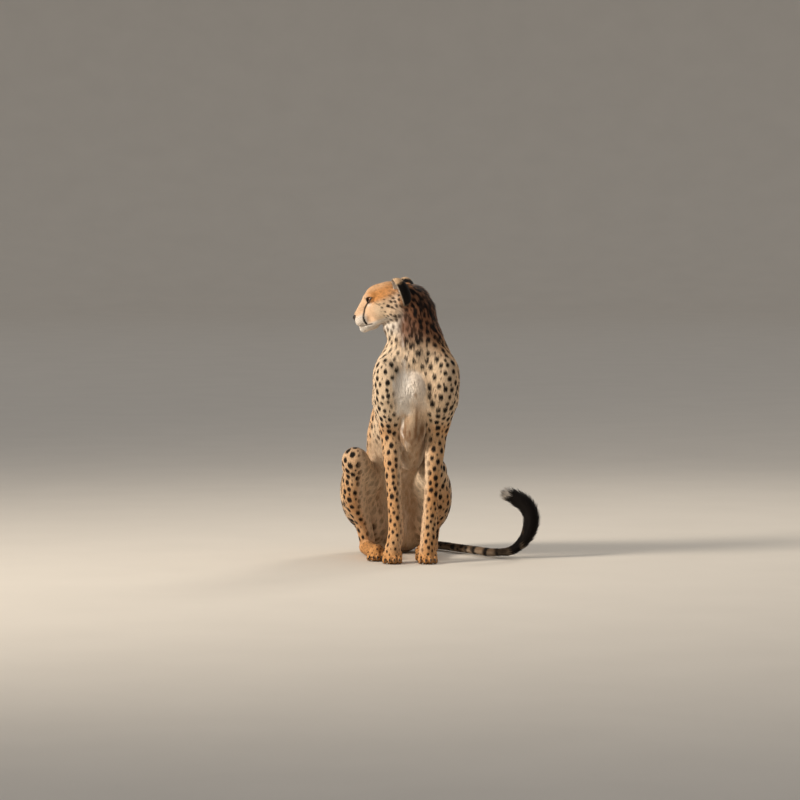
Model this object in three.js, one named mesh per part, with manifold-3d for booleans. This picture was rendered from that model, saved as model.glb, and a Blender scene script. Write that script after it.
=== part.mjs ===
// A life-size cheetah, sitting upright on its haunches with its head turned to its right and its
// tail laid out to its left and curled up at the end.
//
// Millimetres. +Z is up, the chest faces -Y, and +X is the animal's left. Each body form is a soft
// union of eggs and tapered rods. A ring mesh is wrapped round each form, and the pieces then give
// way to one another, so that neighbours meet face to face with a thin gap.
import * as THREE from "three";
import { mergeVertices } from "three/addons/utils/BufferGeometryUtils.js";
import Module from "manifold-3d";

const wasm = await Module();
wasm.setup();

// ---------------------------------------------------------------- driving dimensions

const GAP = 0.35; // between two pieces that touch
const SIDES = { right: -1, left: 1 };

const HEAD_LENGTH = 211; // nose tip to the back of the skull, coat included
const ELBOW_HEIGHT = 395;
const WRIST_HEIGHT = 95;
const FOREARM_RADIUS = 25;
const FORE_PAW = { width: 66, reach: 44 };
const HIND_PAW = { width: 60, reach: 46 };
const KNEE_HEIGHT = { right: 314, left: 282 };
const TAIL_RADIUS = 17;
const TAIL_TUFT_RADIUS = 29;
const EYE_RADIUS = 15.5;
const EAR_HEIGHT = 102; // with the foot that is sunk in the skull
const CLAW_LENGTH = 12;

const PELVIS_YAW = 7; // degrees that the hips point to the animal's left of the chest
const HEAD_YAW = 98; // degrees that the head is turned to the animal's right
const HEAD_PITCH = 20; // degrees that the nose points below level

// ---------------------------------------------------------------- points and directions

const vec = (x, y, z) => new THREE.Vector3(x, y, z);
const mix = (a, b, t) => a.clone().lerp(b, t);
const UP = vec(0, 0, 1);

// A place on the body with its own forward, left and up. `at` turns a point there into the
// model's frame.
function stance(origin, yawDegrees, pitchDegrees = 0) {
  const yaw = THREE.MathUtils.degToRad(yawDegrees);
  const pitch = THREE.MathUtils.degToRad(pitchDegrees);
  const forward = vec(
    Math.sin(yaw) * Math.cos(pitch),
    -Math.cos(yaw) * Math.cos(pitch),
    -Math.sin(pitch),
  );
  const left = vec(Math.cos(yaw), Math.sin(yaw), 0);
  const up = forward.clone().cross(left);
  const matrix = new THREE.Matrix4().makeBasis(forward, left, up).setPosition(origin);
  return { matrix, at: (f, l, u) => vec(f, l, u).applyMatrix4(matrix) };
}

// The turn that lays an egg's long X axis along a direction, with its Y axis level.
function along(direction) {
  const x = direction.clone().normalize();
  const y = UP.clone().cross(x).normalize();
  return new THREE.Quaternion().setFromRotationMatrix(
    new THREE.Matrix4().makeBasis(x, y, x.clone().cross(y)),
  );
}

// ---------------------------------------------------------------- forms, as signed distances

// An egg: radii are along its own X, Y and Z.
function egg(centre, radii, turn = new THREE.Quaternion()) {
  const back = turn.clone().invert();
  const smallest = Math.min(radii.x, radii.y, radii.z);
  return (p) => {
    const q = p.clone().sub(centre).applyQuaternion(back);
    const share = q.clone().divide(radii);
    const far = share.length();
    const slope = share.divide(radii).length();
    return slope > 0 ? (far * (far - 1)) / slope : -smallest;
  };
}

// A rod with round ends that tapers from radius ra at a to radius rb at b.
function rod(a, ra, b, rb) {
  const ba = b.clone().sub(a);
  const length2 = ba.lengthSq();
  const taper = ra - rb;
  const slant2 = length2 - taper * taper;
  return (p) => {
    const pa = p.clone().sub(a);
    const y = pa.dot(ba);
    const z = y - length2;
    const x2 = pa.multiplyScalar(length2).addScaledVector(ba, -y).lengthSq();
    const y2 = y * y * length2;
    const z2 = z * z * length2;
    const k = Math.sign(taper) * taper * taper * x2;
    if (Math.sign(z) * slant2 * z2 > k) return Math.sqrt(x2 + z2) / length2 - rb;
    if (Math.sign(y) * slant2 * y2 < k) return Math.sqrt(x2 + y2) / length2 - ra;
    return (Math.sqrt((x2 * slant2) / length2) + y * taper) / length2 - ra;
  };
}

// A smooth tube through stations of a middle and a radius, as a close row of balls.
function tube(stations, spacing = 6) {
  const line = new THREE.CatmullRomCurve3(stations.map(([middle]) => middle));
  const swell = new THREE.CatmullRomCurve3(stations.map(([, radius]) => vec(radius, 0, 0)));
  const count = Math.ceil(line.getLength() / spacing);
  const balls = [];
  for (let i = 0; i <= count; i++)
    balls.push([line.getPoint(i / count), swell.getPoint(i / count).x]);
  return (p) => {
    let near = Infinity;
    for (const [centre, radius] of balls) near = Math.min(near, p.distanceTo(centre) - radius);
    return near;
  };
}

// Joins forms with a fillet of about k, and cuts one out of another with a soft edge.
function melt(k, ...forms) {
  return (p) => {
    let near = Infinity;
    for (const form of forms) {
      const other = form(p);
      const meet = Math.max(k - Math.abs(near - other), 0) / k;
      near = Math.min(near, other) - (meet * meet * k) / 4;
    }
    return near;
  };
}
function carve(k, form, ...holes) {
  const hollow = melt(1, ...holes);
  const rest = melt(k, (p) => -form(p), hollow);
  return (p) => -rest(p);
}

// Keeps the part of a form that lies behind a cut.
const behind = (form, { point, normal }) => {
  const offset = point.dot(normal);
  return (p) => Math.max(form(p), p.dot(normal) - offset);
};
const both = (make) => [make(SIDES.right), make(SIDES.left)];

// ---------------------------------------------------------------- ring meshes

// Where a ray from inside a form leaves it.
function leave(form, from, direction, grow) {
  const step = 3;
  let near = 0;
  let far = step;
  const value = (s) => form(from.clone().addScaledVector(direction, s)) - grow;
  if (value(0) >= 0) throw new Error(`a ray starts outside its form at ${from.toArray()}`);
  while (value(far) < 0) {
    near = far;
    far += step;
    if (far > 900) throw new Error("a ray never leaves its form");
  }
  for (let i = 0; i < 16; i++) {
    const middle = (near + far) / 2;
    if (value(middle) < 0) near = middle;
    else far = middle;
  }
  return from.clone().addScaledVector(direction, (near + far) / 2);
}

// Wraps a closed mesh round a form. Rays leave a line inside it, square to the line, and fan out
// over its two ends.
function wrap(form, line, { rings, spokes, cap = 3, grow = 0 }) {
  const curve = new THREE.CatmullRomCurve3(line);
  const frames = curve.computeFrenetFrames(rings, false);
  const quarter = Math.PI / 2;
  const stations = [];
  for (let i = 1; i <= cap; i++) stations.push([0, (i / (cap + 1) - 1) * quarter]);
  for (let i = 0; i <= rings; i++) stations.push([i, 0]);
  for (let i = 1; i <= cap; i++) stations.push([rings, (i / (cap + 1)) * quarter]);
  const points = [];
  const cast = (i, lean, angle) => {
    const direction = vec(0, 0, 0)
      .addScaledVector(frames.normals[i], Math.cos(angle) * Math.cos(lean))
      .addScaledVector(frames.binormals[i], Math.sin(angle) * Math.cos(lean))
      .addScaledVector(frames.tangents[i], Math.sin(lean));
    points.push(leave(form, curve.getPointAt(i / rings), direction, grow));
  };
  cast(0, -quarter, 0);
  for (const [i, lean] of stations)
    for (let j = 0; j < spokes; j++) cast(i, lean, (j / spokes) * Math.PI * 2);
  cast(rings, quarter, 0);

  const index = [];
  const last = points.length - 1;
  const at = (ring, j) => 1 + ring * spokes + (j % spokes);
  for (let j = 0; j < spokes; j++) {
    index.push(0, at(0, j + 1), at(0, j));
    index.push(last, at(stations.length - 1, j), at(stations.length - 1, j + 1));
    for (let i = 0; i + 1 < stations.length; i++) {
      index.push(at(i, j), at(i, j + 1), at(i + 1, j + 1));
      index.push(at(i, j), at(i + 1, j + 1), at(i + 1, j));
    }
  }
  const geometry = new THREE.BufferGeometry().setFromPoints(points);
  geometry.setIndex(index);
  return geometry;
}

// ---------------------------------------------------------------- solids

function solidOf(geometry) {
  const bare = geometry.clone();
  bare.deleteAttribute("normal");
  bare.deleteAttribute("uv");
  const merged = mergeVertices(bare, 1e-4);
  return new wasm.Manifold(
    new wasm.Mesh({
      numProp: 3,
      vertProperties: merged.attributes.position.array,
      triVerts: new Uint32Array(merged.index.array),
    }),
  );
}

function geometryOf(solid) {
  const { vertProperties, triVerts } = solid.getMesh();
  const geometry = new THREE.BufferGeometry();
  geometry.setAttribute("position", new THREE.BufferAttribute(vertProperties, 3));
  geometry.setIndex(new THREE.BufferAttribute(triVerts, 1));
  const flat = geometry.toNonIndexed();
  flat.computeVertexNormals();
  return flat;
}

const above = (solid) => solid.trimByPlane([0, 0, 1], 0);
const biggest = (solid) =>
  solid.decompose().reduce((best, s) => (s.volume() > best.volume() ? s : best));

// A thin square plate, for parting a solid across.
function plate(centre, normal, radius) {
  const turn = new THREE.Quaternion().setFromUnitVectors(UP, normal.clone().normalize());
  const board = new THREE.BoxGeometry(2 * radius, 2 * radius, GAP).applyQuaternion(turn);
  return solidOf(board.translate(centre.x, centre.y, centre.z));
}

// ---------------------------------------------------------------- finishes

const finish = (name, color, roughness) =>
  new THREE.MeshStandardMaterial({ name, color, roughness, metalness: 0 });
const COAT = finish("spotted_coat", 0xd9ac6c, 0.85);
const FACE_COAT = finish("face_coat", 0xd49a58, 0.85);
const CHEST_COAT = finish("pale_spotted_coat", 0xdfc8a4, 0.85);
const FOOT_COAT = finish("foot_coat", 0xcb9350, 0.85);
const EAR_COAT = finish("dark_ear_coat", 0x2a211b, 0.85);
const TAIL_COAT = finish("ringed_tail_coat", 0xcfb287, 0.9);
const NOSE_LEATHER = finish("nose_leather", 0x1d1614, 0.45);
const EYE_AMBER = finish("eye_amber", 0xa5661c, 0.08);
const CLAW_HORN = finish("claw_horn", 0x2e2722, 0.4);

// ---------------------------------------------------------------- the skeleton's landmarks

const pelvis = stance(vec(-46, 380, 140), PELVIS_YAW);
const head = stance(vec(-76, 31, 807), -HEAD_YAW, HEAD_PITCH);
const chestMiddle = vec(14, 68, 530);

const limbs = {};
for (const [name, side] of Object.entries(SIDES)) {
  const isLeft = side > 0;
  limbs[name] = {
    side,
    shoulder: vec(14 + side * (isLeft ? 84 : 86), -16, 560),
    elbow: vec(6 + side * 69, 46, ELBOW_HEIGHT),
    wrist: vec(1 + side * 51, 14, WRIST_HEIGHT),
    paw: stance(vec(-6 + side * 54, -2, 0), side * 3),
    hip: pelvis.at(10, side * 72, 8),
    knee: vec(isLeft ? 68 : -178, isLeft ? 150 : 136, KNEE_HEIGHT[name]),
    hock: vec(isLeft ? 60 : -142, isLeft ? 278 : 270, 50),
    foot: stance(vec(isLeft ? 38 : -112, isLeft ? 98 : 92, 0), side * 2),
  };
}

// ---------------------------------------------------------------- trunk and neck

// The body from rump to nape: its middle, half its depth and half its width.
const BODY = [
  { middle: vec(-46, 394, 88), deep: 97, wide: 101 },
  { middle: vec(-46, 374, 180), deep: 107, wide: 105 },
  { middle: vec(-40, 302, 298), deep: 103, wide: 109 },
  { middle: vec(-30, 226, 392), deep: 111, wide: 114 },
  { middle: vec(-12, 150, 474), deep: 125, wide: 113 },
  { middle: vec(8, 84, 545), deep: 131, wide: 101 },
  { middle: vec(13, 54, 612), deep: 113, wide: 97 },
  { middle: vec(14, 44, 668), deep: 95, wide: 85 },
  { middle: vec(3, 32, 724), deep: 81, wide: 81 },
  { middle: vec(-8, 26, 778), deep: 72, wide: 81 },
  { middle: vec(-16, 26, 812), deep: 63, wide: 77 },
];
const bodyLine = BODY.slice(0, -1).map((station) => station.middle);

// How far across the body's middle is at a height, and how wide it is there for its depth.
function girth(height) {
  const last = BODY.length - 1;
  let i = 0;
  while (i < last - 1 && height > BODY[i + 1].middle.z) i++;
  const [a, b] = [BODY[i], BODY[i + 1]];
  const t = THREE.MathUtils.clamp((height - a.middle.z) / (b.middle.z - a.middle.z), 0, 1);
  return {
    across: THREE.MathUtils.lerp(a.middle.x, b.middle.x, t),
    ratio: THREE.MathUtils.lerp(a.wide / a.deep, b.wide / b.deep, t),
  };
}

function bodyForm() {
  const round = tube(BODY.map(({ middle, deep }) => [middle, deep]));
  const barrel = (p) => {
    const { across, ratio } = girth(p.z);
    return round(vec(across + (p.x - across) / ratio, p.y, p.z)) * Math.min(1, ratio);
  };
  return melt(
    36,
    barrel,
    // the shoulder blades and the muscle over them, the left one carried higher
    egg(vec(-62, 52, 572), vec(106, 34, 66), along(vec(0.1, -0.3, 1))),
    egg(vec(91, 52, 586), vec(106, 36, 66), along(vec(-0.12, -0.3, 1))),
    // the keel of the breastbone, and the muscle from it to each arm
    rod(vec(12, -34, 560), 30, vec(4, 16, 430), 34),
    rod(vec(4, 16, 430), 34, vec(-12, 120, 340), 46),
    ...both((side) => rod(vec(14, -22, 556), 34, vec(14 + side * 66, 0, 512), 32)),
    egg(vec(-50, 30, 742), vec(42, 42, 32)), // the ruff under the throat
  );
}

// ---------------------------------------------------------------- head, in its own frame

const EYE_AT = { forward: 34, out: 32, up: 28 };
const headLine = [vec(-58, 0, -2), vec(-10, 0, 2), vec(40, 0, -2), vec(86, 0, -21)];

function headForm() {
  const back = 118 - HEAD_LENGTH;
  const flesh = melt(
    12,
    egg(vec(back + 68, 0, 5), vec(68, 54, 56)), // braincase
    egg(vec(22, 0, 26), vec(44, 42, 43)), // forehead
    egg(vec(-4, 0, 36), vec(48, 38, 34)), // crown
    rod(vec(28, 0, 0), 33, vec(84, 0, -21), 22), // the core of the muzzle
    rod(vec(56, 0, 31), 17, vec(98, 0, 0), 12.5), // bridge of the nose
    rod(vec(94, 0, -45), 16, vec(40, 0, -38), 18), // chin
    ...both((s) => egg(vec(40, s * 28, 43), vec(19, 15, 12))), // brow
    ...both((s) => egg(vec(89, s * 17, -21), vec(24, 18, 20))), // whisker pad
    ...both((s) => rod(vec(78, s * 12, -42), 13, vec(-10, s * 36, -32), 22)), // jaw
    ...both((s) => egg(vec(12, s * 40, -6), vec(40, 25, 34))), // cheekbone
    ...both((s) => egg(vec(-20, s * 42, -28), vec(34, 24, 30))), // ruff
  );
  const sockets = both((s) =>
    egg(vec(EYE_AT.forward + 9, s * (EYE_AT.out + 15), EYE_AT.up - 1), vec(17, 11, 11.5)),
  );
  return carve(5, flesh, ...sockets);
}

const eyeCentre = (s) => head.at(EYE_AT.forward, s * EYE_AT.out, EYE_AT.up);
function eyeball(s, grow) {
  const ball = new THREE.SphereGeometry(EYE_RADIUS + grow, 10, 6);
  const centre = eyeCentre(s);
  return ball.translate(centre.x, centre.y, centre.z);
}

function noseForm() {
  return melt(
    4,
    egg(vec(106, 0, -5), vec(11.5, 13.5, 8)),
    egg(vec(106, 0, -12), vec(10.5, 5, 9)),
  );
}

// How each ear is held: leaning ahead, tilted out and turned out, in radians.
const EARS = {
  right: { ahead: -0.1, out: 0.55, turn: 0.35 },
  left: { ahead: 0.08, out: 0.3, turn: 0.35 },
};

// A cupped ear: an upright shell, open to the front.
function ear(s, { ahead, out, turn }) {
  const lean = new THREE.Quaternion().setFromEuler(
    new THREE.Euler(s * -out, ahead, s * turn, "ZYX"),
  );
  const shell = (radii, shift) =>
    solidOf(
      new THREE.SphereGeometry(1, 10, 6)
        .rotateX(Math.PI / 2)
        .scale(radii.x, radii.y, radii.z)
        .translate(shift, 0, 0)
        .applyQuaternion(lean)
        .translate(-58, s * 58, 16)
        .applyMatrix4(head.matrix),
    );
  const outside = shell(vec(30, 33, EAR_HEIGHT / 2), 0);
  const hollow = shell(vec(30, 29, EAR_HEIGHT / 2 - 4), 14);
  return outside.subtract(hollow);
}

// ---------------------------------------------------------------- limbs

function forelegForm({ side, shoulder, elbow, wrist, paw }) {
  const bone = elbow.clone().sub(shoulder);
  const triceps = mix(shoulder, elbow, 0.5).add(vec(side * 8, 30, 20));
  const point = elbow.clone().add(vec(0, 12, 8)); // of the elbow
  const belly = mix(elbow, wrist, 0.22);
  const slim = mix(elbow, wrist, 0.62);
  return melt(
    20,
    egg(shoulder.clone().add(vec(0, 8, -4)), vec(80, 40, 52), along(bone)),
    egg(triceps, vec(112, 38, 54), along(bone)),
    tube([
      [mix(shoulder, elbow, 0.5), 40],
      [point, 38],
      [belly, 32],
      [slim, FOREARM_RADIUS],
      [wrist, FOREARM_RADIUS + 2],
      [paw.at(0, 0, 44), FOREARM_RADIUS + 2],
    ]),
  );
}

// Toes are counted from the animal's right to its left.
const TOES = [-1.5, -0.5, 0.5, 1.5].map((place) => ({
  place,
  ahead: Math.abs(place) > 1 ? -9 : 0,
}));
const toePitch = (width) => (width - 21) / 3;

function pawForm({ at }, { width }) {
  return melt(
    10,
    egg(at(-2, 0, 27), vec(width / 2 - 5, 32, 25)),
    egg(at(-16, 0, 14), vec(width / 2 - 9, 24, 15)),
    egg(at(8, 0, 13), vec(width / 2 - 8, 20, 14)),
  );
}

function toeForm({ at }, { width, reach }, { place, ahead }) {
  const out = place * toePitch(width);
  const knuckle = at(10 + ahead, out * 0.88, 31);
  const tip = at(reach - 11 + ahead, out, 10.5);
  return { line: [knuckle, mix(knuckle, tip, 0.5), tip], form: rod(knuckle, 12, tip, 11) };
}

function clawForm({ at }, { width, reach }, { place, ahead }) {
  const out = place * toePitch(width);
  const root = at(reach - 6 + ahead, out, 15);
  const bend = at(reach + CLAW_LENGTH * 0.35 + ahead, out, 12.5);
  const tip = at(reach + CLAW_LENGTH * 0.75 + ahead, out, 3.5);
  return {
    line: [root, mix(root, bend, 0.5), bend, mix(bend, tip, 0.9)],
    form: melt(1, rod(root, 3.6, bend, 2.8), rod(bend, 2.8, tip, 0.9)),
  };
}

function thighForm({ side, hip, knee }) {
  const bone = knee.clone().sub(hip);
  const haunch = mix(hip, knee, 0.3).add(vec(side * 31, 0, -10));
  const buttock = mix(hip, knee, 0.02).add(vec(side * 8, 8, -42));
  const quadriceps = mix(hip, knee, 0.5).add(vec(side * 6, 0, 10));
  return melt(
    28,
    egg(haunch, vec(128, 58, 96), along(bone)),
    egg(buttock, vec(58, 92, 90)),
    rod(quadriceps, 58, knee, 43),
  );
}

function shankForm({ side, knee, hock }) {
  const calf = mix(knee, hock, 0.44).add(vec(side * 19, 2, 0));
  const tendon = mix(knee, hock, 0.78).add(vec(side * 4, 8, 0));
  return tube([
    [mix(knee, hock, 0.04), 36],
    [calf, 42],
    [tendon, 30],
    [hock, 28],
  ]);
}

function metatarsusForm({ hock, foot }) {
  const heel = hock.clone().add(vec(0, 8, -24));
  const instep = mix(hock, foot.at(0, 0, 0), 0.5).setZ(25);
  return melt(
    14,
    tube([
      [heel, 27],
      [instep, 25],
      [foot.at(-14, 0, 26), 26],
    ]),
    pawForm(foot, HIND_PAW),
  );
}

// ---------------------------------------------------------------- tail

const tailLine = [
  vec(-46, 420, 92),
  vec(-38, 478, 58),
  vec(-8, 514, 28),
  vec(56, 488, 17),
  vec(112, 412, 16),
  vec(158, 338, 16),
  vec(208, 262, 16),
  vec(262, 200, 16),
  vec(318, 168, 27),
  vec(360, 160, 68),
  vec(375, 158, 120),
  vec(362, 158, 162),
  vec(331, 158, 189),
  vec(313, 158, 198),
];
const tailCurve = new THREE.CatmullRomCurve3(tailLine);

// The radius along the tail: thick at the root, slim, then bushy towards its tip.
function tailRadius(t) {
  const root = 15 * Math.max(0, 1 - t / 0.12);
  const tuft = (TAIL_TUFT_RADIUS - TAIL_RADIUS) * THREE.MathUtils.smoothstep(t, 0.66, 0.9);
  const end = 4 * THREE.MathUtils.smoothstep(t, 0.94, 1);
  return TAIL_RADIUS + root + tuft - end;
}

function tailForm() {
  const steps = 40;
  const beads = [];
  for (let i = 0; i < steps; i++) {
    const [a, b] = [i / steps, (i + 1) / steps];
    const [from, to] = [tailCurve.getPointAt(a), tailCurve.getPointAt(b)];
    beads.push(rod(from, tailRadius(a), to, tailRadius(b)));
  }
  return melt(3, ...beads);
}
const TAIL_CUTS = [0.2, 0.4, 0.6, 0.8];

// ---------------------------------------------------------------- assembly

const cheetah = new THREE.Group();
const settled = []; // the pieces so far, grown by the gap: later pieces give way to them

function show(name, solid, material) {
  const mesh = new THREE.Mesh(geometryOf(solid), material);
  mesh.name = name;
  cheetah.add(mesh);
}

function giveWay(solid) {
  return biggest(above(settled.reduce((rest, other) => rest.subtract(other), solid)));
}

// Adds a piece that gives way to all before it. `make` builds its solid, grown by a distance.
function settle(name, make, material) {
  show(name, giveWay(make(0)), material);
  settled.push(make(GAP));
}

const wrapped = (form, line, options) => (grow) => solidOf(wrap(form, line, { ...options, grow }));

// Parts a solid across by thin cuts, and shows each piece that holds one of the named points.
function part(solid, cuts, named) {
  const pieces = cuts.reduce((rest, cut) => rest.subtract(plate(...cut)), solid).decompose();
  for (const [name, p, material] of named) {
    const probe = solidOf(new THREE.BoxGeometry(4, 4, 4).translate(p.x, p.y, p.z));
    const piece = pieces.find((s) => s.intersect(probe).volume() > 0);
    if (!piece) throw new Error(`nothing holds the point of ${name}`);
    show(name, piece, material);
  }
}

// The head, neck and trunk are one form. It is wrapped in two lengths that meet behind the jaw.
const HEAD_CUT = { point: vec(-36, 28, 795), normal: vec(-0.86, 0.02, 0.51).normalize() };
const SPARE = 18; // each length is wrapped this far past the cut, then trimmed to it
const torso = bodyForm();
const skull = headForm();
const intoHead = head.matrix.clone().invert();
const whole = melt(14, torso, (p) => skull(p.clone().applyMatrix4(intoHead)));

const backOfCut = {
  point: HEAD_CUT.point.clone().addScaledVector(HEAD_CUT.normal, SPARE),
  normal: HEAD_CUT.normal,
};
const frontOfCut = {
  point: HEAD_CUT.point.clone().addScaledVector(HEAD_CUT.normal, -SPARE),
  normal: HEAD_CUT.normal.clone().negate(),
};
const bodyLength = wrapped(behind(whole, backOfCut), bodyLine, { rings: 19, spokes: 20 });
const headWorldLine = headLine.map((p) => p.clone().applyMatrix4(head.matrix));
const headLength = wrapped(behind(whole, frontOfCut), headWorldLine, {
  rings: 12,
  spokes: 22,
});
const trim = (solid, { point, normal }, sign, gap) =>
  solid.trimByPlane(normal.clone().multiplyScalar(sign).toArray(), sign * point.dot(normal) + gap);

const trunk = above(trim(bodyLength(0), HEAD_CUT, -1, GAP / 2));
const eyes = Object.values(SIDES).map((s) => solidOf(eyeball(s, GAP)));
const face = eyes.reduce((rest, eye) => rest.subtract(eye), trim(headLength(0), HEAD_CUT, 1, GAP / 2));
show("head", biggest(face), FACE_COAT);
part(
  trunk,
  [
    [vec(12, 6, 684), vec(0, -0.72, 0.69), 150],
    [vec(-22, 190, 400), vec(0.1, -0.55, 0.8), 175],
  ],
  [
    ["neck", vec(8, 25, 740), COAT],
    ["chest", chestMiddle, CHEST_COAT],
    ["hindquarters", vec(-40, 300, 250), COAT],
  ],
);
settled.push(bodyLength(GAP), headLength(GAP));

const tail = wrapped(tailForm(), tailLine, { rings: 24, spokes: 7, cap: 2 });
const tailPieces = [...TAIL_CUTS, 1].map((end, i) => {
  const start = i ? TAIL_CUTS[i - 1] : 0.1;
  return [`tail_${i + 1}`, tailCurve.getPointAt((start + end) / 2), TAIL_COAT];
});
part(
  giveWay(tail(0)),
  TAIL_CUTS.map((t) => [tailCurve.getPointAt(t), tailCurve.getTangentAt(t), tailRadius(t) + 14]),
  tailPieces,
);
settled.push(tail(GAP));

for (const [name, s] of Object.entries(SIDES)) show(`eye_${name}`, solidOf(eyeball(s, 0)), EYE_AMBER);
for (const [name, s] of Object.entries(SIDES)) show(`ear_${name}`, giveWay(ear(s, EARS[name])), EAR_COAT);
const noseMesh = wrap(noseForm(), [vec(103, 0, -6), vec(109, 0, -7)], { rings: 1, spokes: 12 });
show("nose", giveWay(solidOf(noseMesh.applyMatrix4(head.matrix))), NOSE_LEATHER);

// A foot with its toes on.
function footed(form, line, options, place, size) {
  const toes = TOES.map((toe) => toeForm(place, size, toe));
  return (grow) =>
    toes.reduce(
      (rest, toe) => rest.add(solidOf(wrap(toe.form, toe.line, { rings: 1, spokes: 6, cap: 1, grow }))),
      solidOf(wrap(form, line, { ...options, grow })),
    );
}

for (const [name, limb] of Object.entries(limbs)) {
  const { side, shoulder, elbow, wrist, paw, hip, knee, hock, foot } = limb;
  const outerArm = mix(shoulder, elbow, 0.6).add(vec(side * 26, 0, 0));
  const forelegLine = [
    shoulder,
    mix(shoulder, elbow, 0.5),
    elbow,
    mix(elbow, wrist, 0.5),
    wrist,
    paw.at(0, 0, 42),
  ];
  const foreleg = wrapped(forelegForm(limb), forelegLine, { rings: 11, spokes: 11, cap: 2 });
  part(
    giveWay(foreleg(0)),
    [[elbow, vec(0, 0.1, 1), 80]],
    [
      [`upper_arm_${name}`, outerArm, COAT],
      [`forearm_${name}`, mix(elbow, wrist, 0.5), COAT],
    ],
  );
  settled.push(foreleg(GAP));

  const pawLine = [paw.at(-12, 0, 18), paw.at(10, 0, 16)];
  settle(
    `forepaw_${name}`,
    footed(pawForm(paw, FORE_PAW), pawLine, { rings: 2, spokes: 10, cap: 2 }, paw, FORE_PAW),
    FOOT_COAT,
  );
  const thighLine = [mix(hip, knee, 0.1), mix(hip, knee, 0.5), knee];
  settle(`thigh_${name}`, wrapped(thighForm(limb), thighLine, { rings: 5, spokes: 15, cap: 2 }), COAT);
  const shankLine = [mix(knee, hock, 0.1), mix(knee, hock, 0.5), hock];
  settle(`shank_${name}`, wrapped(shankForm(limb), shankLine, { rings: 4, spokes: 11, cap: 2 }), COAT);
  const footLine = [hock.clone().setZ(26), mix(hock, foot.at(0, 0, 0), 0.5).setZ(24), foot.at(10, 0, 16)];
  settle(
    `hind_foot_${name}`,
    footed(metatarsusForm(limb), footLine, { rings: 5, spokes: 10, cap: 2 }, foot, HIND_PAW),
    FOOT_COAT,
  );

  const feet = [
    ["fore", paw, FORE_PAW],
    ["hind", foot, HIND_PAW],
  ];
  for (const [which, place, size] of feet) {
    TOES.forEach((toe, i) => {
      const { form, line } = clawForm(place, size, toe);
      const claw = solidOf(wrap(form, line, { rings: 2, spokes: 4, cap: 0 }));
      show(`claw_${which}_${name}_${i + 1}`, giveWay(claw), CLAW_HORN);
    });
  }
}

// The origin is on the floor, under the middle of the whole model.
const box = new THREE.Box3().setFromObject(cheetah);
const middle = box.getCenter(vec(0, 0, 0));
for (const mesh of cheetah.children) mesh.position.set(-middle.x, -middle.y, -box.min.z);

export default cheetah;
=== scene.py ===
# %% [markdown]
# # A cheetah, sitting and looking to its right
#
# This notebook dresses the plain solids of a life-size cheetah: one skin over the flesh, eyes, nose,
# ears, claws and whiskers, and a coat of small solid tufts that lie the way the hair of a cat lies.
#
# Fur could be a particle system or hair curves, which are quick to comb. A part on a shelf has to
# keep its looks as plain mesh, though, so each tuft here is a small closed spike with a few faces.
#
# The solids come first.

import math

import bmesh
import bpy
import numpy as np
import openvdb
from mathutils import Euler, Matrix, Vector


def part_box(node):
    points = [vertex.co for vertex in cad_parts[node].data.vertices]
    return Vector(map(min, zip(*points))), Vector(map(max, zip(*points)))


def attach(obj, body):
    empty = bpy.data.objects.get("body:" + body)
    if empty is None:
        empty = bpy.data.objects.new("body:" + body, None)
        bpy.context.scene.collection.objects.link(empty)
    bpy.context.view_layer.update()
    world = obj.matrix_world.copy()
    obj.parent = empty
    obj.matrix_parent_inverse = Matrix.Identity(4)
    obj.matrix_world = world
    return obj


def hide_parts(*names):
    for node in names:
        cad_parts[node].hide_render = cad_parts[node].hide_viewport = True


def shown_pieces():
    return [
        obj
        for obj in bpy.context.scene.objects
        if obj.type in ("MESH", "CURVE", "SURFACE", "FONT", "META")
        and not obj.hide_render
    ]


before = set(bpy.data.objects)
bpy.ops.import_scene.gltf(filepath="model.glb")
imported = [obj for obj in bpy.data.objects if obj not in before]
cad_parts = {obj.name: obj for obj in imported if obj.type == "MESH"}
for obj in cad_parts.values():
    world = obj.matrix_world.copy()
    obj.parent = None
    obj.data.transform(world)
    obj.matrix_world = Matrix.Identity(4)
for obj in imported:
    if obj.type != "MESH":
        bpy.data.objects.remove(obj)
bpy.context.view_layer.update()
chance = np.random.default_rng(7)

# %% [markdown]
# ## Places on the body
#
# A cat is easier to describe from inside: the eye is so far forward, out to the side and up from
# the middle of the skull. A stance is such a place, with its own forward, left and up.
#
# The numbers are millimetres from the sculptor's own origin. One known place, the left eye, tells
# how far the finished model was shifted to stand on the middle of its box.


# %% Stances
def unit(v):
    v = np.asarray(v, float)
    return v / np.maximum(np.linalg.norm(v, axis=-1, keepdims=True), 1e-12)


def smooth(x, start, end):
    t = np.clip((x - start) / (end - start), 0, 1)
    return t * t * (3 - 2 * t)


def mix(a, b, t):
    return np.asarray(a, float) * (1 - t) + np.asarray(b, float) * t


class Stance:
    def __init__(self, origin, yaw, pitch=0.0):
        yaw, pitch = math.radians(yaw), math.radians(pitch)
        level = math.cos(pitch)
        forward = np.array([math.sin(yaw) * level, -math.cos(yaw) * level, -math.sin(pitch)])
        left = np.array([math.cos(yaw), math.sin(yaw), 0])
        self.origin = np.array(origin, float)
        self.axes = np.array([forward, left, np.cross(forward, left)])

    def at(self, *place):
        return self.origin + np.array(place, float) @ self.axes

    def way(self, *direction):
        return np.array(direction, float) @ self.axes

    def local(self, p):
        return (p - self.origin) @ self.axes.T


UP = np.array([0.0, 0.0, 1.0])
SIDES = {"right": -1, "left": 1}
CHEST_X = 14  # the middle of the chest, a little to the left of the sculptor's origin
head = Stance((-76, 31, 807), -98, 20)
pelvis = Stance((-46, 380, 140), 7)
EYE = np.array([34.0, 32.0, 28.0])
EYE_RADIUS = 15.5

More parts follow.
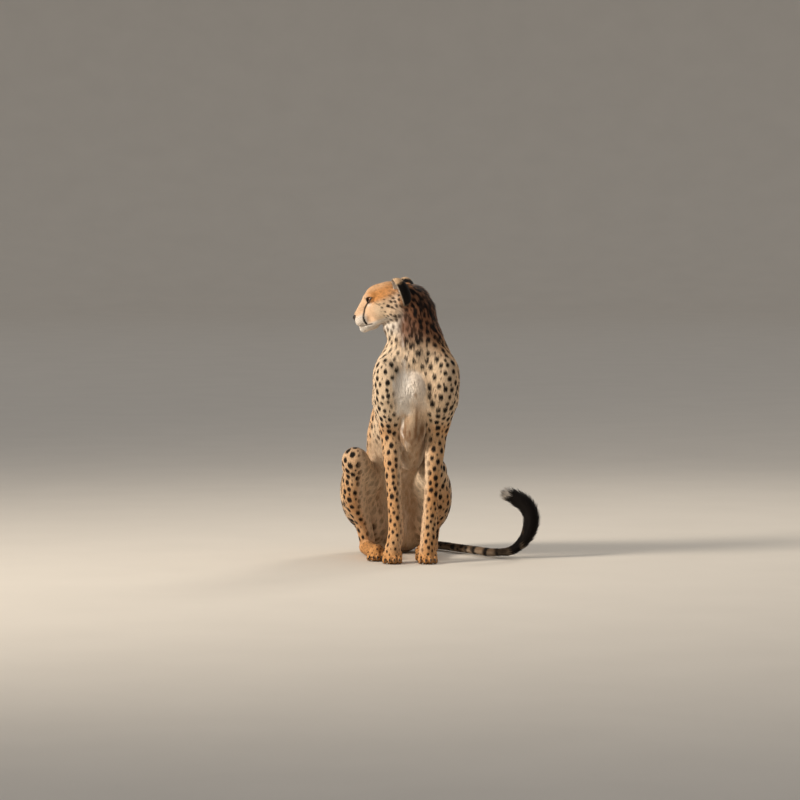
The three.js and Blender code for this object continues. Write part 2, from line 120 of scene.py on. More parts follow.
eye_low, eye_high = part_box("eye_left")
MIDDLE = head.at(*EYE) - np.array((eye_low + eye_high) / 2) * 1000
MIDDLE[2] = 0


def to_model(p):
    """From the sculptor's millimetres to the model's metres."""
    return (np.asarray(p, float) - MIDDLE) / 1000


print("the model's middle, in the sculptor's millimetres:", MIDDLE.round(2))

# %% The limbs' landmarks
limbs = {}
for name, side in SIDES.items():
    is_left = side > 0
    limbs[name] = {
        "side": side,
        "shoulder": np.array([CHEST_X + side * (84 if is_left else 86), -16, 560.0]),
        "elbow": np.array([6 + side * 69, 46, 395.0]),
        "wrist": np.array([1 + side * 51, 14, 95.0]),
        "paw": Stance((-6 + side * 54, -2, 0), side * 3),
        "hip": pelvis.at(10, side * 72, 8),
        "knee": np.array([68, 150, 282.0] if is_left else [-178, 136, 314.0]),
        "hock": np.array([60, 278, 50.0] if is_left else [-142, 270, 50.0]),
        "foot": Stance((38, 98, 0) if is_left else (-112, 92, 0), side * 2),
    }
print("elbows", [float(limb["elbow"][2]) for limb in limbs.values()], "mm above the floor")

# %% [markdown]
# ## Soft forms
#
# Flesh has no edges, so it is built from forms that melt together: eggs for the big muscles and
# rods that taper for the limbs. Each form is a function that gives the distance from a point to its
# surface, less than nothing inside. Modelling by hand with subdivision surfaces could give the same
# shapes; distances are chosen because they melt, and because the skin can later be drawn at any
# fineness from the same few numbers.


# %% Eggs and rods
NEAR = 45.0  # farther off than this, the distance to a form's bounding ball will do


class Form:
    """A distance, with a ball round the whole form, outside which a rough distance is enough."""

    def __init__(self, value, centre, reach):
        self.value = value
        self.centre = np.asarray(centre, float)
        self.reach = float(reach)

    def __call__(self, p):
        far = np.linalg.norm(p - self.centre, axis=1) - self.reach
        near = far < NEAR
        if near.any():
            far[near] = self.value(p[near])
        return far


def along(direction):
    """The axes of an egg whose long axis lies along a direction, with its second axis level."""
    x = unit(direction)
    y = unit(np.cross(UP, x))
    return np.array([x, y, np.cross(x, y)])


def egg(centre, radii, axes=np.eye(3)):
    """An egg with three radii along its own axes."""
    centre, radii = np.asarray(centre, float), np.asarray(radii, float)

    def value(p):
        share = (p - centre) @ axes.T / radii
        far = np.linalg.norm(share, axis=1)
        slope = np.linalg.norm(share / radii, axis=1)
        return np.where(slope > 1e-9, far * (far - 1) / np.maximum(slope, 1e-9), -radii.min())

    return Form(value, centre, radii.max())


def rod(a, ra, b, rb):
    """A rod with round ends, which tapers from one radius to another."""
    a, b = np.asarray(a, float), np.asarray(b, float)
    ba = b - a
    length2 = ba @ ba
    taper = ra - rb
    slant2 = length2 - taper * taper

    def value(p):
        pa = p - a
        y = pa @ ba
        z = y - length2
        x2 = ((pa * length2 - y[:, None] * ba) ** 2).sum(1)
        y2, z2 = y * y * length2, z * z * length2
        k = np.sign(taper) * taper * taper * x2
        d = (np.sqrt(x2 * slant2 / length2) + y * taper) / length2 - ra
        d = np.where(np.sign(y) * slant2 * y2 < k, np.sqrt(x2 + y2) / length2 - ra, d)
        return np.where(np.sign(z) * slant2 * z2 > k, np.sqrt(x2 + z2) / length2 - rb, d)

    return Form(value, (a + b) / 2, math.sqrt(length2) / 2 + max(ra, rb))


# %% Tubes along a curve
CURVE_STEPS = 24  # steps from one point of a curve to the next
CHUNK = 50000  # points measured at once, so that the table of distances stays small


def curve_through(points, count):
    """A smooth curve through points, evenly spaced. More columns, such as a radius, go along."""
    p = np.vstack([2 * points[0] - points[1], points, 2 * points[-1] - points[-2]])
    step = np.sqrt(np.linalg.norm(np.diff(p[:, :3], axis=0), axis=1))
    fine = []
    t = np.linspace(0, 1, CURVE_STEPS, endpoint=False)[:, None]
    for i in range(1, len(p) - 2):
        a, b, c = step[i - 1 : i + 2]
        before, start, end, after = p[i - 1 : i + 3]
        leaving = ((start - before) / a - (end - before) / (a + b) + (end - start) / b) * b
        arriving = ((end - start) / b - (after - start) / (b + c) + (after - end) / c) * b
        fine.append(
            (2 * t**3 - 3 * t**2 + 1) * start
            + (t**3 - 2 * t**2 + t) * leaving
            + (3 * t**2 - 2 * t**3) * end
            + (t**3 - t**2) * arriving
        )
    fine = np.vstack([*fine, points[-1:]])
    run = np.concatenate([[0], np.cumsum(np.linalg.norm(np.diff(fine[:, :3], axis=0), axis=1))])
    share = np.linspace(0, run[-1], count)
    return np.stack([np.interp(share, run, column) for column in fine.T], axis=1)


def tube(stations, spacing=6.0):
    """A smooth tube through stations of a middle and a radius, as a close row of balls."""
    stations = np.array([[*middle, radius] for middle, radius in stations], float)
    length = np.linalg.norm(np.diff(stations[:, :3], axis=0), axis=1).sum()
    balls = curve_through(stations, math.ceil(length / spacing) + 1)
    centres, radii = balls[:, :3], balls[:, 3]

    def value(p):
        near = np.empty(len(p))
        for i in range(0, len(p), CHUNK):
            q = p[i : i + CHUNK]
            square = (q**2).sum(1)[:, None] + (centres**2).sum(1) - 2 * q @ centres.T
            near[i : i + CHUNK] = (np.sqrt(np.maximum(square, 0)) - radii).min(axis=1)
        return near

    middle = centres.mean(0)
    return Form(value, middle, (np.linalg.norm(centres - middle, axis=1) + radii).max())


# %% Melting and carving
def join(k, a, b):
    """The nearer of two distances, with a fillet of about k where they meet."""
    meet = np.maximum(k - np.abs(a - b), 0) / k
    return np.minimum(a, b) - meet * meet * k / 4


def melt(k, *forms):
    """Several forms as one, with a fillet of about k at every join."""
    centre = np.mean([f.centre for f in forms], axis=0)
    reach = max(np.linalg.norm(f.centre - centre) + f.reach for f in forms)

    def value(p):
        d = forms[0](p)
        for form in forms[1:]:
            d = join(k, d, form(p))
        return d

    return Form(value, centre, reach)


def carve(k, d, hole):
    """Cuts a hole out of a distance, with a soft edge."""
    return -join(k, -d, hole)


def both(make):
    """The same thing on the right, side -1, and on the left, side 1."""
    return [make(-1), make(1)]


# %% [markdown]
# ## The flesh
#
# The trunk is a line of round sections from the rump to the nape, squeezed sideways, with the
# shoulder blades and the breastbone melted on. The head has its own stance: braincase, forehead,
# muzzle, jaws, cheeks and ruff. These are the same forms as the solids', so that the skin lies
# where the solids say. A few more, at the breast, the shoulders and the chin, fill the borders
# between parts, which the living animal doesn't show.

# %% Trunk
# Each station: the middle, half the depth and half the width.
STATIONS = np.array(
    [
        [-46, 394, 88, 97, 101],
        [-46, 374, 180, 107, 105],
        [-40, 302, 298, 103, 109],
        [-30, 226, 392, 111, 114],
        [-12, 150, 474, 125, 113],
        [8, 84, 545, 131, 101],
        [13, 54, 612, 113, 97],
        [14, 44, 668, 95, 85],
        [3, 32, 724, 81, 81],
        [-8, 26, 778, 72, 81],
        [-16, 26, 812, 63, 77],
    ],
    float,
)
heights = STATIONS[:, 2]
barrel = tube([(station[:3], station[3]) for station in STATIONS])


def squeezed(p):
    """The barrel of the body, made narrower or wider than deep, section by section."""
    across = np.interp(p[:, 2], heights, STATIONS[:, 0])
    ratio = np.interp(p[:, 2], heights, STATIONS[:, 4] / STATIONS[:, 3])
    q = p.copy()
    q[:, 0] = across + (p[:, 0] - across) / ratio
    return barrel(q) * np.minimum(1, ratio)


trunk = melt(
    36,
    Form(squeezed, barrel.centre, barrel.reach + 20),
    # The shoulder blades.
    egg((-62, 52, 572), (106, 34, 66), along((0.1, -0.3, 1))),
    egg((91, 52, 586), (106, 36, 66), along((-0.12, -0.3, 1))),
    # The breastbone and the keel, which runs back into the belly.
    rod((12, -34, 560), 30, (4, 16, 430), 34),
    rod((4, 16, 430), 34, (-12, 120, 340), 46),
    # The muscles from the breastbone to the shoulders.
    *both(lambda s: rod((CHEST_X, -22, 556), 34, (CHEST_X + s * 66, 0, 512), 32)),
    # Fills: beside the breast, behind the keel, and from each shoulder up to the neck.
    *both(lambda s: egg((CHEST_X + s * 50, -10, 572), (36, 36, 88))),
    rod((4, 18, 400), 26, (-2, 110, 316), 30),
    *both(lambda s: rod((CHEST_X + s * 76, 4, 604), 34, (8 + s * 44, 10, 700), 34)),
    # The throat.
    egg((-50, 30, 742), (42, 42, 32)),
)
print("trunk", len(STATIONS), "sections, up to", heights[-1], "mm")

# %% Head
HEAD_LENGTH = 211
NOSE_TIP = 118
back = NOSE_TIP - HEAD_LENGTH
EAR_RADII = np.array([28.6, 31.8, 49.8])
EAR_TILT = {-1: (0.55, -0.1, 0.35), 1: (0.3, 0.08, 0.35)}  # out, ahead and turned out, in radians


def ear_middle(s):
    return np.array([-58, s * 58, 16])


def ear_turn(s):
    """The turn from the ear's own frame to the head's."""
    out, ahead, turn = EAR_TILT[s]
    return np.array(Euler((-s * out, ahead, s * turn)).to_matrix())


def ear_bed(s):
    """The fur that fills the foot of the ear."""
    return egg(ear_middle(s) + ear_turn(s) @ (0, 0, -28), (22, 25, 27), ear_turn(s).T)


core = melt(
    12,
    # The braincase, the forehead and the crown.
    egg((back + 68, 0, 5), (68, 54, 56)),
    egg((22, 0, 26), (44, 42, 43)),
    egg((-4, 0, 36), (48, 38, 34)),
    # The muzzle, the bridge of the nose and the chin.
    rod((28, 0, 0), 33, (84, 0, -21), 22),
    rod((56, 0, 31), 17, (98, 0, 0), 12.5),
    rod((94, 0, -45), 16, (40, 0, -38), 18),
    # The brows, the whisker pads and the branches of the lower jaw.
    *both(lambda s: egg((40, s * 28, 43), (19, 15, 12))),
    *both(lambda s: egg((89, s * 17, -21), (24, 18, 20))),
    *both(lambda s: rod((78, s * 12, -42), 13, (-10, s * 36, -32), 22)),
    *both(ear_bed),
)
cheeks = melt(
    12,
    *both(lambda s: egg((12, s * 40, -6), (40, 25, 34))),
    *both(lambda s: egg((-20, s * 42, -28), (34, 24, 30))),
)
skull_flesh = melt(26, core, cheeks)
sockets = melt(1, *both(lambda s: egg((EYE[0] + 9, s * (EYE[1] + 15), EYE[2] - 1), (17, 11, 11.5))))
skull = Form(
    lambda p: carve(5, skull_flesh(head.local(p)), sockets(head.local(p))),
    head.at(*skull_flesh.centre),
    skull_flesh.reach,
)
print("head", HEAD_LENGTH, "mm long, eyes", EYE[1] * 2, "mm apart")

# %% Forelegs and paws
FORE_PAW = {"width": 66, "reach": 44}
HIND_PAW = {"width": 60, "reach": 46}
TOE_WIDTH = 21
# For each toe, how many toes out from the middle of the paw, and how far ahead of the others.
TOES = [(place, -9 if abs(place) > 1 else 0) for place in (-1.5, -0.5, 0.5, 1.5)]


def foreleg(limb):
    side, shoulder, elbow, wrist = limb["side"], limb["shoulder"], limb["elbow"], limb["wrist"]
    bone = elbow - shoulder
    triceps = mix(shoulder, elbow, 0.5) + (side * 8, 30, 20)
    point = elbow + (0, 12, 8)
    belly, slim = mix(elbow, wrist, 0.22), mix(elbow, wrist, 0.62)
    return melt(
        20,
        egg(shoulder + (0, 8, -4), (80, 40, 52), along(bone)),
        egg(triceps, (112, 38, 54), along(bone)),
        tube(
            [
                (mix(shoulder, elbow, 0.5), 40),
                (point, 38),
                (belly, 32),
                (slim, 25),
                (wrist, 27),
                (limb["paw"].at(0, 0, 44), 27),
            ]
        ),
    )


def toe_spacing(size):
    return (size["width"] - TOE_WIDTH) / 3


def toe_lines(place, size):
    """The two ends of each toe: its knuckle and its tip."""
    pitch = toe_spacing(size)
    for out, ahead in TOES:
        knuckle = place.at(10 + ahead, out * pitch * 0.88, 31)
        yield knuckle, place.at(size["reach"] - 11 + ahead, out * pitch, 10.5)


def paw(place, size):
    width = size["width"]
    palm = melt(
        10,
        egg(place.at(-2, 0, 27), (width / 2 - 5, 32, 25)),
        egg(place.at(-16, 0, 14), (width / 2 - 9, 24, 15)),
        egg(place.at(8, 0, 13), (width / 2 - 8, 20, 14)),
    )
    toes = [rod(knuckle, 12, tip, 11) for knuckle, tip in toe_lines(place, size)]
    return melt(3.5, palm, *toes)


# %% Hind legs
def thigh(limb):
    side, hip, knee = limb["side"], limb["hip"], limb["knee"]
    haunch = mix(hip, knee, 0.3) + (side * 31, 0, -10)
    buttock = mix(hip, knee, 0.02) + (side * 8, 8, -42)
    quadriceps = mix(hip, knee, 0.5) + (side * 6, 0, 10)
    return melt(
        28,
        egg(haunch, (128, 58, 96), along(knee - hip)),
        egg(buttock, (58, 92, 90)),
        rod(quadriceps, 58, knee, 43),
    )


def shank(limb):
    side, knee, hock = limb["side"], limb["knee"], limb["hock"]
    calf = mix(knee, hock, 0.44) + (side * 19, 2, 0)
    tendon = mix(knee, hock, 0.78) + (side * 4, 8, 0)
    return tube([(mix(knee, hock, 0.04), 36), (calf, 42), (tendon, 30), (hock, 28)])


def hind_foot(limb):
    hock, foot = limb["hock"], limb["foot"]
    heel = hock + (0, 8, -24)
    instep = mix(hock, foot.at(0, 0, 0), 0.5)
    instep[2] = 25
    sole = tube([(heel, 27), (instep, 25), (foot.at(-14, 0, 26), 26)])
    return melt(10, sole, paw(foot, HIND_PAW))


# %% Tail
# The middle of the tail, from its root, round behind the left side, to its curled tip.
TAIL_POINTS = np.array(
    [
        (-46, 420, 92),
        (-38, 478, 58),
        (-8, 514, 28),
        (56, 488, 17),
        (112, 412, 16),
        (158, 338, 16),
        (208, 262, 16),
        (262, 200, 16),
        (318, 168, 27),
        (360, 160, 68),
        (375, 158, 120),
        (362, 158, 162),
        (331, 158, 189),
        (313, 158, 198),
    ],
    float,
)


def tail_radius(t):
    """The radius with its coat: thick at the root, and a brush at the end."""
    root = 15 * np.maximum(0, 1 - t / 0.12)
    tuft = 12 * smooth(t, 0.66, 0.9)
    return 17 + root + tuft - 4 * smooth(t, 0.94, 1)


tail_line = curve_through(TAIL_POINTS, 161)
tail_t = np.linspace(0, 1, len(tail_line))
tail = tube(list(zip(tail_line, tail_radius(tail_t))), spacing=5)
print("tail length", round(float(np.linalg.norm(np.diff(tail_line, axis=0), axis=1).sum())), "mm")

# %% [markdown]
# ## How deep the coat is
#
# The solids reach to the tips of the hair, so the skin lies under them by the depth of the coat:
# next to nothing on the muzzle, a few millimetres on the legs, and much more on the nape, the
# breast and the end of the tail.
#
# Most things about a coat depend on where on the animal it is, so this step first finds how much
# each point belongs to each part of the body.

# %% Parts of the body
PARTS = {"trunk": trunk, "head": skull, "tail": tail}
for name, limb in limbs.items():
    PARTS[f"foreleg_{name}"] = foreleg(limb)
    PARTS[f"forepaw_{name}"] = paw(limb["paw"], FORE_PAW)
    PARTS[f"thigh_{name}"] = thigh(limb)
    PARTS[f"shank_{name}"] = shank(limb)
    PARTS[f"foot_{name}"] = hind_foot(limb)
PART_NAMES = list(PARTS)
print("parts of the body", len(PART_NAMES))


def belonging(distances, blur=7.0):
    """How much each point belongs to each part, from its distances to them."""
    close = np.exp(-(distances - distances.min(axis=0)) / blur)
    return dict(zip(PART_NAMES, close / close.sum(axis=0)))


def share_of(part, belongs):
    """The share of every part whose name starts so."""
    return sum(b for name, b in belongs.items() if name.startswith(part))


# The breast looks forward, but the throat turns with the head, so its direction turns with height.
BREAST_HEIGHTS = [540, 640, 700, 760, 820]
BREAST_TURN = np.radians([0, 8, 26, 52, 76])


def breastward(p):
    """From -1 on the spine's side of the trunk to 1 on the breast's side."""
    out = np.stack(
        [p[:, i] - np.interp(p[:, 2], heights, STATIONS[:, i]) for i in range(2)], axis=1
    )
    turn = np.interp(p[:, 2], BREAST_HEIGHTS, BREAST_TURN)
    return (unit(out) * np.stack([-np.sin(turn), -np.cos(turn)], axis=1)).sum(1)


def along_tail(p):
    """How far along the tail each point is, from 0 at the root to 1 at the tip."""
    t = np.zeros(len(p))
    near = tail(p) < 30
    q = p[near]
    square = (q**2).sum(1)[:, None] + (tail_line**2).sum(1) - 2 * q @ tail_line.T
    closest = square.argmin(axis=1)
    before, after = np.maximum(closest - 1, 0), np.minimum(closest + 1, len(tail_line) - 1)
    way = tail_line[after] - tail_line[before]
    past = ((q - tail_line[closest]) * way).sum(1) / (way**2).sum(1)
    t[near] = (closest + past * (after - before)) / (len(tail_line) - 1)
    return np.clip(t, 0, 1)


# %% Depth of the coat
def coat_depth(p, belongs):
    """How far under the tips of the coat the skin lies, in millimetres."""
    breast = breastward(p)
    f, _, u = head.local(p).T
    on_trunk = 6 + 6 * smooth(breast, 0.45, 0.9) * smooth(p[:, 2], 330, 460)
    on_trunk += 5 * smooth(-breast, 0.2, 0.8) * smooth(p[:, 2], 600, 740)
    on_head = 1.2 + 3 * smooth(-f, -50, 10) + 4 * smooth(-f, 20, 80)
    on_head += 2.5 * smooth(-u, 20, 60) * smooth(-f, -100, -40)
    on_tail = 6 + 11 * smooth(along_tail(p), 0.6, 0.9)
    depths = {"trunk": on_trunk, "head": on_head, "tail": on_tail}
    fixed = {"foreleg": 4, "forepaw": 2.5, "thigh": 6, "shank": 5, "foot": 2.5}
    total = sum(belongs[name] * depth for name, depth in depths.items())
    for part, depth in fixed.items():
        total = total + depth * share_of(part + "_", belongs)
    return total


# %% [markdown]
# ## Folds, lids and lips
#
# The solids have no room for fine things, so the skin adds them: eyelids stretched over the eyeball
# with an almond opening, the line of the mouth, and the groove under the nose. They could be
# sculpted by brush. Here each is one more distance, added or carved, so that it can be moved later.

# %% The eyes' own directions
def eye_stance(s):
    """The eye's centre and its own out, across and up: the gaze, then towards the outer corner."""
    out, tip, slant = math.radians(33), math.radians(6), math.radians(16)
    gaze = unit([math.cos(out) * math.cos(tip), s * math.sin(out) * math.cos(tip), math.sin(tip)])
    level = unit([-math.sin(out), s * math.cos(out), 0])
    rise = s * np.cross(gaze, level)
    across = level * math.cos(slant) + rise * math.sin(slant)
    return EYE * (1, s, 1), np.array([gaze, across, rise * math.cos(slant) - level * math.sin(slant)])


LID = 1.6
OPENING = {"half_width": 12.6, "half_height": 6.2}


def eye_opening(q, s):
    """How far each point is out along the gaze, from the eye's middle, from the lids' slit, and up."""
    width, height = OPENING["half_width"], OPENING["half_height"]
    bend = (width**2 + height**2) / (2 * height)
    centre, axes = eye_stance(s)
    out, across, rise = ((q - centre) @ axes.T).T
    slit = np.hypot(across, np.abs(rise) + bend - height) - bend
    return out, np.sqrt(out**2 + across**2 + rise**2), slit, rise


def lids(q, d):
    """Stretches lids over both eyeballs and opens them, in the head's own frame."""
    for s in (-1, 1):
        out, ball, slit, rise = eye_opening(q, s)
        d = join(6, d, ball - EYE_RADIUS - LID)
        facing = smooth(out, 0, 8) * smooth(-ball, -24, -19)
        d = d - 0.7 * facing * np.exp(-(((slit - 1.6) / 1.8) ** 2))
        fold = 0.8 * smooth(rise, -1, 5) + 0.35 * smooth(-rise, 1, 6)
        d = d + fold * facing * np.exp(-(((slit - 5.6) / 1.5) ** 2))
        d = carve(1.4, d, np.maximum(slit, 3 - out))
    return d


def mouth_height(f):
    """How high the line of the mouth runs at a place along the muzzle."""
    return -43.5 + 2.5 * smooth(f, 62, 84) + 5.0 * smooth(f, 88, 103)


def muzzle(q, d):
    """The line of the mouth and the groove under the nose."""
    f, l, u = q.T
    line = np.exp(-(((u - mouth_height(f)) / 1.9) ** 2)) * smooth(f, 58, 70)
    under_nose = smooth(f, 92, 99) * smooth(u, -40, -34) * smooth(-u, 10, 14)
    return d + 2.5 * line + 1.6 * np.exp(-((l / 1.7) ** 2)) * under_nose


# %% The skin as one distance
FACE, FACE_REACH = (70, 0, 0), 90  # lids and lips are only looked for this near to the face's middle
SOLE = 0.6  # how high the skin stays above the floor, to leave room for the coat


def flesh(p):
    """Distances to the parts, and to all of them melted together."""
    distances = {name: part(p) for name, part in PARTS.items()}
    d = join(14, distances["trunk"], distances["head"])
    d = join(16, d, distances["tail"])
    # A shoulder runs softly into the breast, an elbow doesn't.
    soft = 8 + 62 * smooth(p[:, 2], 400, 520)
    for name in SIDES:
        d = join(20, d, distances[f"thigh_{name}"])
        leg = join(8, distances[f"foreleg_{name}"], distances[f"forepaw_{name}"])
        d = join(soft, d, leg)
        hind = join(8, distances[f"shank_{name}"], distances[f"foot_{name}"])
        from_knee = np.linalg.norm(p - limbs[name]["knee"], axis=1)
        d = join(6 + 22 * smooth(-from_knee, -90, -40), d, hind)
    return d, np.array([distances[name] for name in PART_NAMES])


def skin(p):
    """The distance to the skin."""
    d, distances = flesh(p)
    d = d + coat_depth(p, belonging(distances))
    near = np.linalg.norm(p - head.at(*FACE), axis=1) < FACE_REACH
    if near.any():
        q = head.local(p[near])
        d[near] = muzzle(q, lids(q, d[near]))
    return np.maximum(d, SOLE - p[:, 2])


# %% [markdown]
# ## Drawing the skin
#
# The distances are read on a grid of small cells, only where the skin is near, and the surface
# where they pass through nothing becomes a mesh of even quads. A metaball object or a voxel remesh
# does much the same. Here the volume library does it straight from the numbers.
#
# Cells of four millimetres are enough for the flanks, but not for lids and toes. There the faces
# are split once or twice, and every point is then pulled onto the true form.

# %% From distances to a mesh
CELL = 4.4
BLOCK_REACH = 1.7  # a block farther off the surface than this many of its widths holds none of it


def read_grid(distance, low, high, cell, block=4):
    """The distances on a grid, computed point by point only in the blocks near the surface."""
    counts = np.ceil((high - low) / (cell * block)).astype(int)
    rows = np.meshgrid(*[np.arange(n) for n in counts], indexing="ij")
    corners = np.stack(rows, -1).reshape(-1, 3)
    middles = low + (corners * block + (block - 1) / 2) * cell
    rough = distance(middles)
    busy = np.abs(rough) < cell * block * BLOCK_REACH
    grid = np.repeat(np.repeat(np.repeat(rough.reshape(counts), block, 0), block, 1), block, 2)
    inside = np.stack(np.meshgrid(*[np.arange(block)] * 3, indexing="ij"), -1).reshape(-1, 3)
    places = (corners[busy][:, None] * block + inside).reshape(-1, 3)
    grid[tuple(places.T)] = distance(low + places * cell)
    return np.clip(grid, -3 * cell, 3 * cell).astype(np.float32)


def draw(distance, low, high, cell):
    """The surface as points and quads, facing out."""
    grid = openvdb.FloatGrid(background=3 * cell)
    grid.copyFromArray(read_grid(distance, low, high, cell))
    points, _, quads = grid.convertToPolygons(isovalue=0.0, adaptivity=0.0)
    points = points.astype(float) * cell + low
    a, b, c = (points[quads[:, i]] for i in range(3))
    if (np.cross(b - a, c - a) * (a - points.mean(0))).sum() < 0:
        quads = quads[:, ::-1]
    return points, quads


def settle(distance, p, rounds=2, most=1.5, h=0.3):
    """Pulls points onto the surface, against the way in which the distance grows fastest."""
    for _ in range(rounds):
        d = distance(p)
        steep = np.stack([distance(p + step) - d for step in np.eye(3) * h], axis=1) / h
        size = np.maximum(np.linalg.norm(steep, axis=1, keepdims=True), 0.5)
        p = p - steep / size * np.clip(d[:, None] / size, -most, most)
    return p


# %% Draw it
low, high = np.array([-260.0, -90, -6]), np.array([420.0, 560, 900])
points, quads = draw(skin, low, high, CELL)
print("skin", len(points), "points", len(quads), "faces")


# %% Split the faces of the head and feet, and settle every point
def new_mesh(name, points, faces):
    mesh = bpy.data.meshes.new(name)
    mesh.from_pydata(points.tolist(), [], faces.tolist())
    mesh.update()
    return mesh


def split_near(mesh, wanted):
    """Splits the faces whose points are wanted into four, with triangles round the edge."""
    b = bmesh.new()
    b.from_mesh(mesh)
    co = np.array([v.co for v in b.verts])
    chosen = wanted(co)
    edges = [e for e in b.edges if chosen[e.verts[0].index] and chosen[e.verts[1].index]]
    bmesh.ops.subdivide_edges(b, edges=edges, cuts=1, use_grid_fill=True)
    b.to_mesh(mesh)
    b.free()


def on_face(p):
    f, l, _ = head.local(p).T
    return (f > 8) & (np.abs(l) < 75)


def on_feet(p):
    paws = [place.at(14, 0, 12) for limb in limbs.values() for place in (limb["paw"], limb["foot"])]
    return np.min([np.linalg.norm(p - middle, axis=1) for middle in paws], axis=0) < 50


def round_eyes_and_mouth(p):
    q = head.local(p)
    f, _, u = q.T
    near = (f > 56) & (np.abs(u - mouth_height(f)) < 5)
    for s in (-1, 1):
        centre, (gaze, _, _) = eye_stance(s)
        near |= np.linalg.norm(q - centre - gaze * 8, axis=1) < 19
    return near


skin_mesh = new_mesh("skin", points, quads)
split_near(skin_mesh, lambda p: on_face(p) | on_feet(p))
split_near(skin_mesh, round_eyes_and_mouth)


def points_of(mesh):
    flat = np.empty(len(mesh.vertices) * 3, np.float32)
    mesh.vertices.foreach_get("co", flat)
    return flat.reshape(-1, 3).astype(float)


skin_points = settle(skin, points_of(skin_mesh))
skin_mesh.vertices.foreach_set("co", to_model(skin_points).astype(np.float32).ravel())
skin_mesh.shade_smooth()
skin_mesh.update()
print("skin, settled:", len(skin_mesh.vertices), "points", len(skin_mesh.polygons), "faces")


# %% The skin as a piece of the scene
def show(name, mesh, slot, *nodes):
    """Puts a mesh into the scene, riding the body, in place of some of the solids."""
    piece = bpy.data.objects.new(name, mesh)
    bpy.context.scene.collection.objects.link(piece)
    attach(piece, "root")
    if nodes:
        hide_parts(*nodes)
    return piece


FLESH_NODES = ["head", "neck", "chest", "hindquarters", *(f"tail_{i}" for i in range(1, 6))]
for name in SIDES:
    for part in ("upper_arm", "forearm", "forepaw", "thigh", "shank", "hind_foot"):
        FLESH_NODES.append(f"{part}_{name}")
skin_object = show("skin", skin_mesh, "spotted_coat", *FLESH_NODES)
print("the skin stands in for", len(FLESH_NODES), "solids")

# %% [markdown]
# ## Ears
#
# A cheetah's ear is a low, rounded, upright shell, set wide on the skull and open to the front. It
# is one egg hollowed by another that sits further forward, so the back is thin and the rim thinner.
# The foot of the shell goes into the skull, where the coat hides where they meet.


# %% Two shells
def ear_place(p, s):
    """Points in the ear's own frame: ahead out of its opening, across, and up to its tip."""
    return (head.local(p) - ear_middle(s)) @ ear_turn(s)


def ear_shell(s):
    outside = egg((0, 0, 0), EAR_RADII)
    hollow = egg((13.5, 0, 0), (39.8, 29.4, 47.4))

    def value(p):
        q = ear_place(p, s)
        return carve(1.5, outside(q), hollow(q))

    return value


ears = {}
for name, s in SIDES.items():
    middle = head.at(*ear_middle(s))
    ear_points, ear_quads = draw(ear_shell(s), middle - 60, middle + 60, 1.5)
    ear_mesh = new_mesh(f"ear_shell_{name}", to_model(ear_points), ear_quads)
    ear_mesh.shade_smooth()
    ears[name] = show(f"ear_shell_{name}", ear_mesh, "dark_ear_coat", f"ear_{name}")
    print("ear", name, len(ear_points), "points")

# %% [markdown]
# ## Eyes
#
# The eyeball is turned out of rings round the gaze, with the cornea standing out a little over the
# iris. Two numbers are kept on every point, how far it is from the middle of the pupil and where it
# is around it, and the material paints pupil, iris and dark edge from them. A picture of an iris
# would look finer close by, but numbers stay sharp at any size.

# %% Two eyeballs
EYE_RINGS, FRONT_RINGS, EYE_SPOKES = 56, 40, 72
IRIS = 42.0  # degrees from the middle of the pupil to the edge of the iris
CORNEA = 1.1  # how far the cornea stands out over the white


def face_out(mesh):
    """Turns every face outward."""
    b = bmesh.new()
    b.from_mesh(mesh)
    bmesh.ops.recalc_face_normals(b, faces=b.faces)
    b.to_mesh(mesh)
    b.free()


def eyeball(s):
    """A ball of rings round the gaze, close together in front and wider behind."""
    centre, axes = eye_stance(s)
    front, behind = np.linspace(0, 60, FRONT_RINGS), np.linspace(63, 180, EYE_RINGS - FRONT_RINGS)
    angle = np.concatenate([front, behind])
    around = np.linspace(0, 2 * math.pi, EYE_SPOKES, endpoint=False)
    ring, spoke = (grid.ravel() for grid in np.meshgrid(angle[1:-1], around, indexing="ij"))
    ring, spoke = np.append(ring, [0, 180]), np.append(spoke, [0, 0])
    radius = EYE_RADIUS - 0.3 + CORNEA * smooth(-ring, -IRIS - 4, -IRIS + 14)
    turn = np.radians(ring)
    out, wide = np.cos(turn), np.sin(turn)
    local = np.stack([out, wide * np.cos(spoke), wide * np.sin(spoke)], 1)
    points = head.at(*centre) + (local * radius[:, None]) @ axes @ head.axes
    faces = []
    rows = EYE_RINGS - 2
    for i in range(rows - 1):
        for j in range(EYE_SPOKES):
            k = (j + 1) % EYE_SPOKES
            a, b = i * EYE_SPOKES, (i + 1) * EYE_SPOKES
            faces.append((a + j, b + j, b + k, a + k))
    pupil, rear, last = rows * EYE_SPOKES, rows * EYE_SPOKES + 1, (rows - 1) * EYE_SPOKES
    for j in range(EYE_SPOKES):
        k = (j + 1) % EYE_SPOKES
        faces += [(pupil, j, k), (rear, last + k, last + j)]
    mesh = bpy.data.meshes.new(f"eye_{s}")
    mesh.from_pydata(to_model(points).tolist(), [], faces)
    from_pupil = mesh.attributes.new("from_pupil", "FLOAT", "POINT")
    from_pupil.data.foreach_set("value", ring / IRIS)
    turns = np.stack([np.cos(spoke), np.sin(spoke), ring * 0], axis=1)
    round_pupil = mesh.attributes.new("round_pupil", "FLOAT_VECTOR", "POINT")
    round_pupil.data.foreach_set("vector", turns.ravel())
    face_out(mesh)
    mesh.shade_smooth()
    return mesh


eyes = {name: eyeball(s) for name, s in SIDES.items()}
for name, mesh in eyes.items():
    show(f"eyeball_{name}", mesh, "eye_amber", f"eye_{name}")
print("eyeballs", EYE_RADIUS * 2, "mm across")

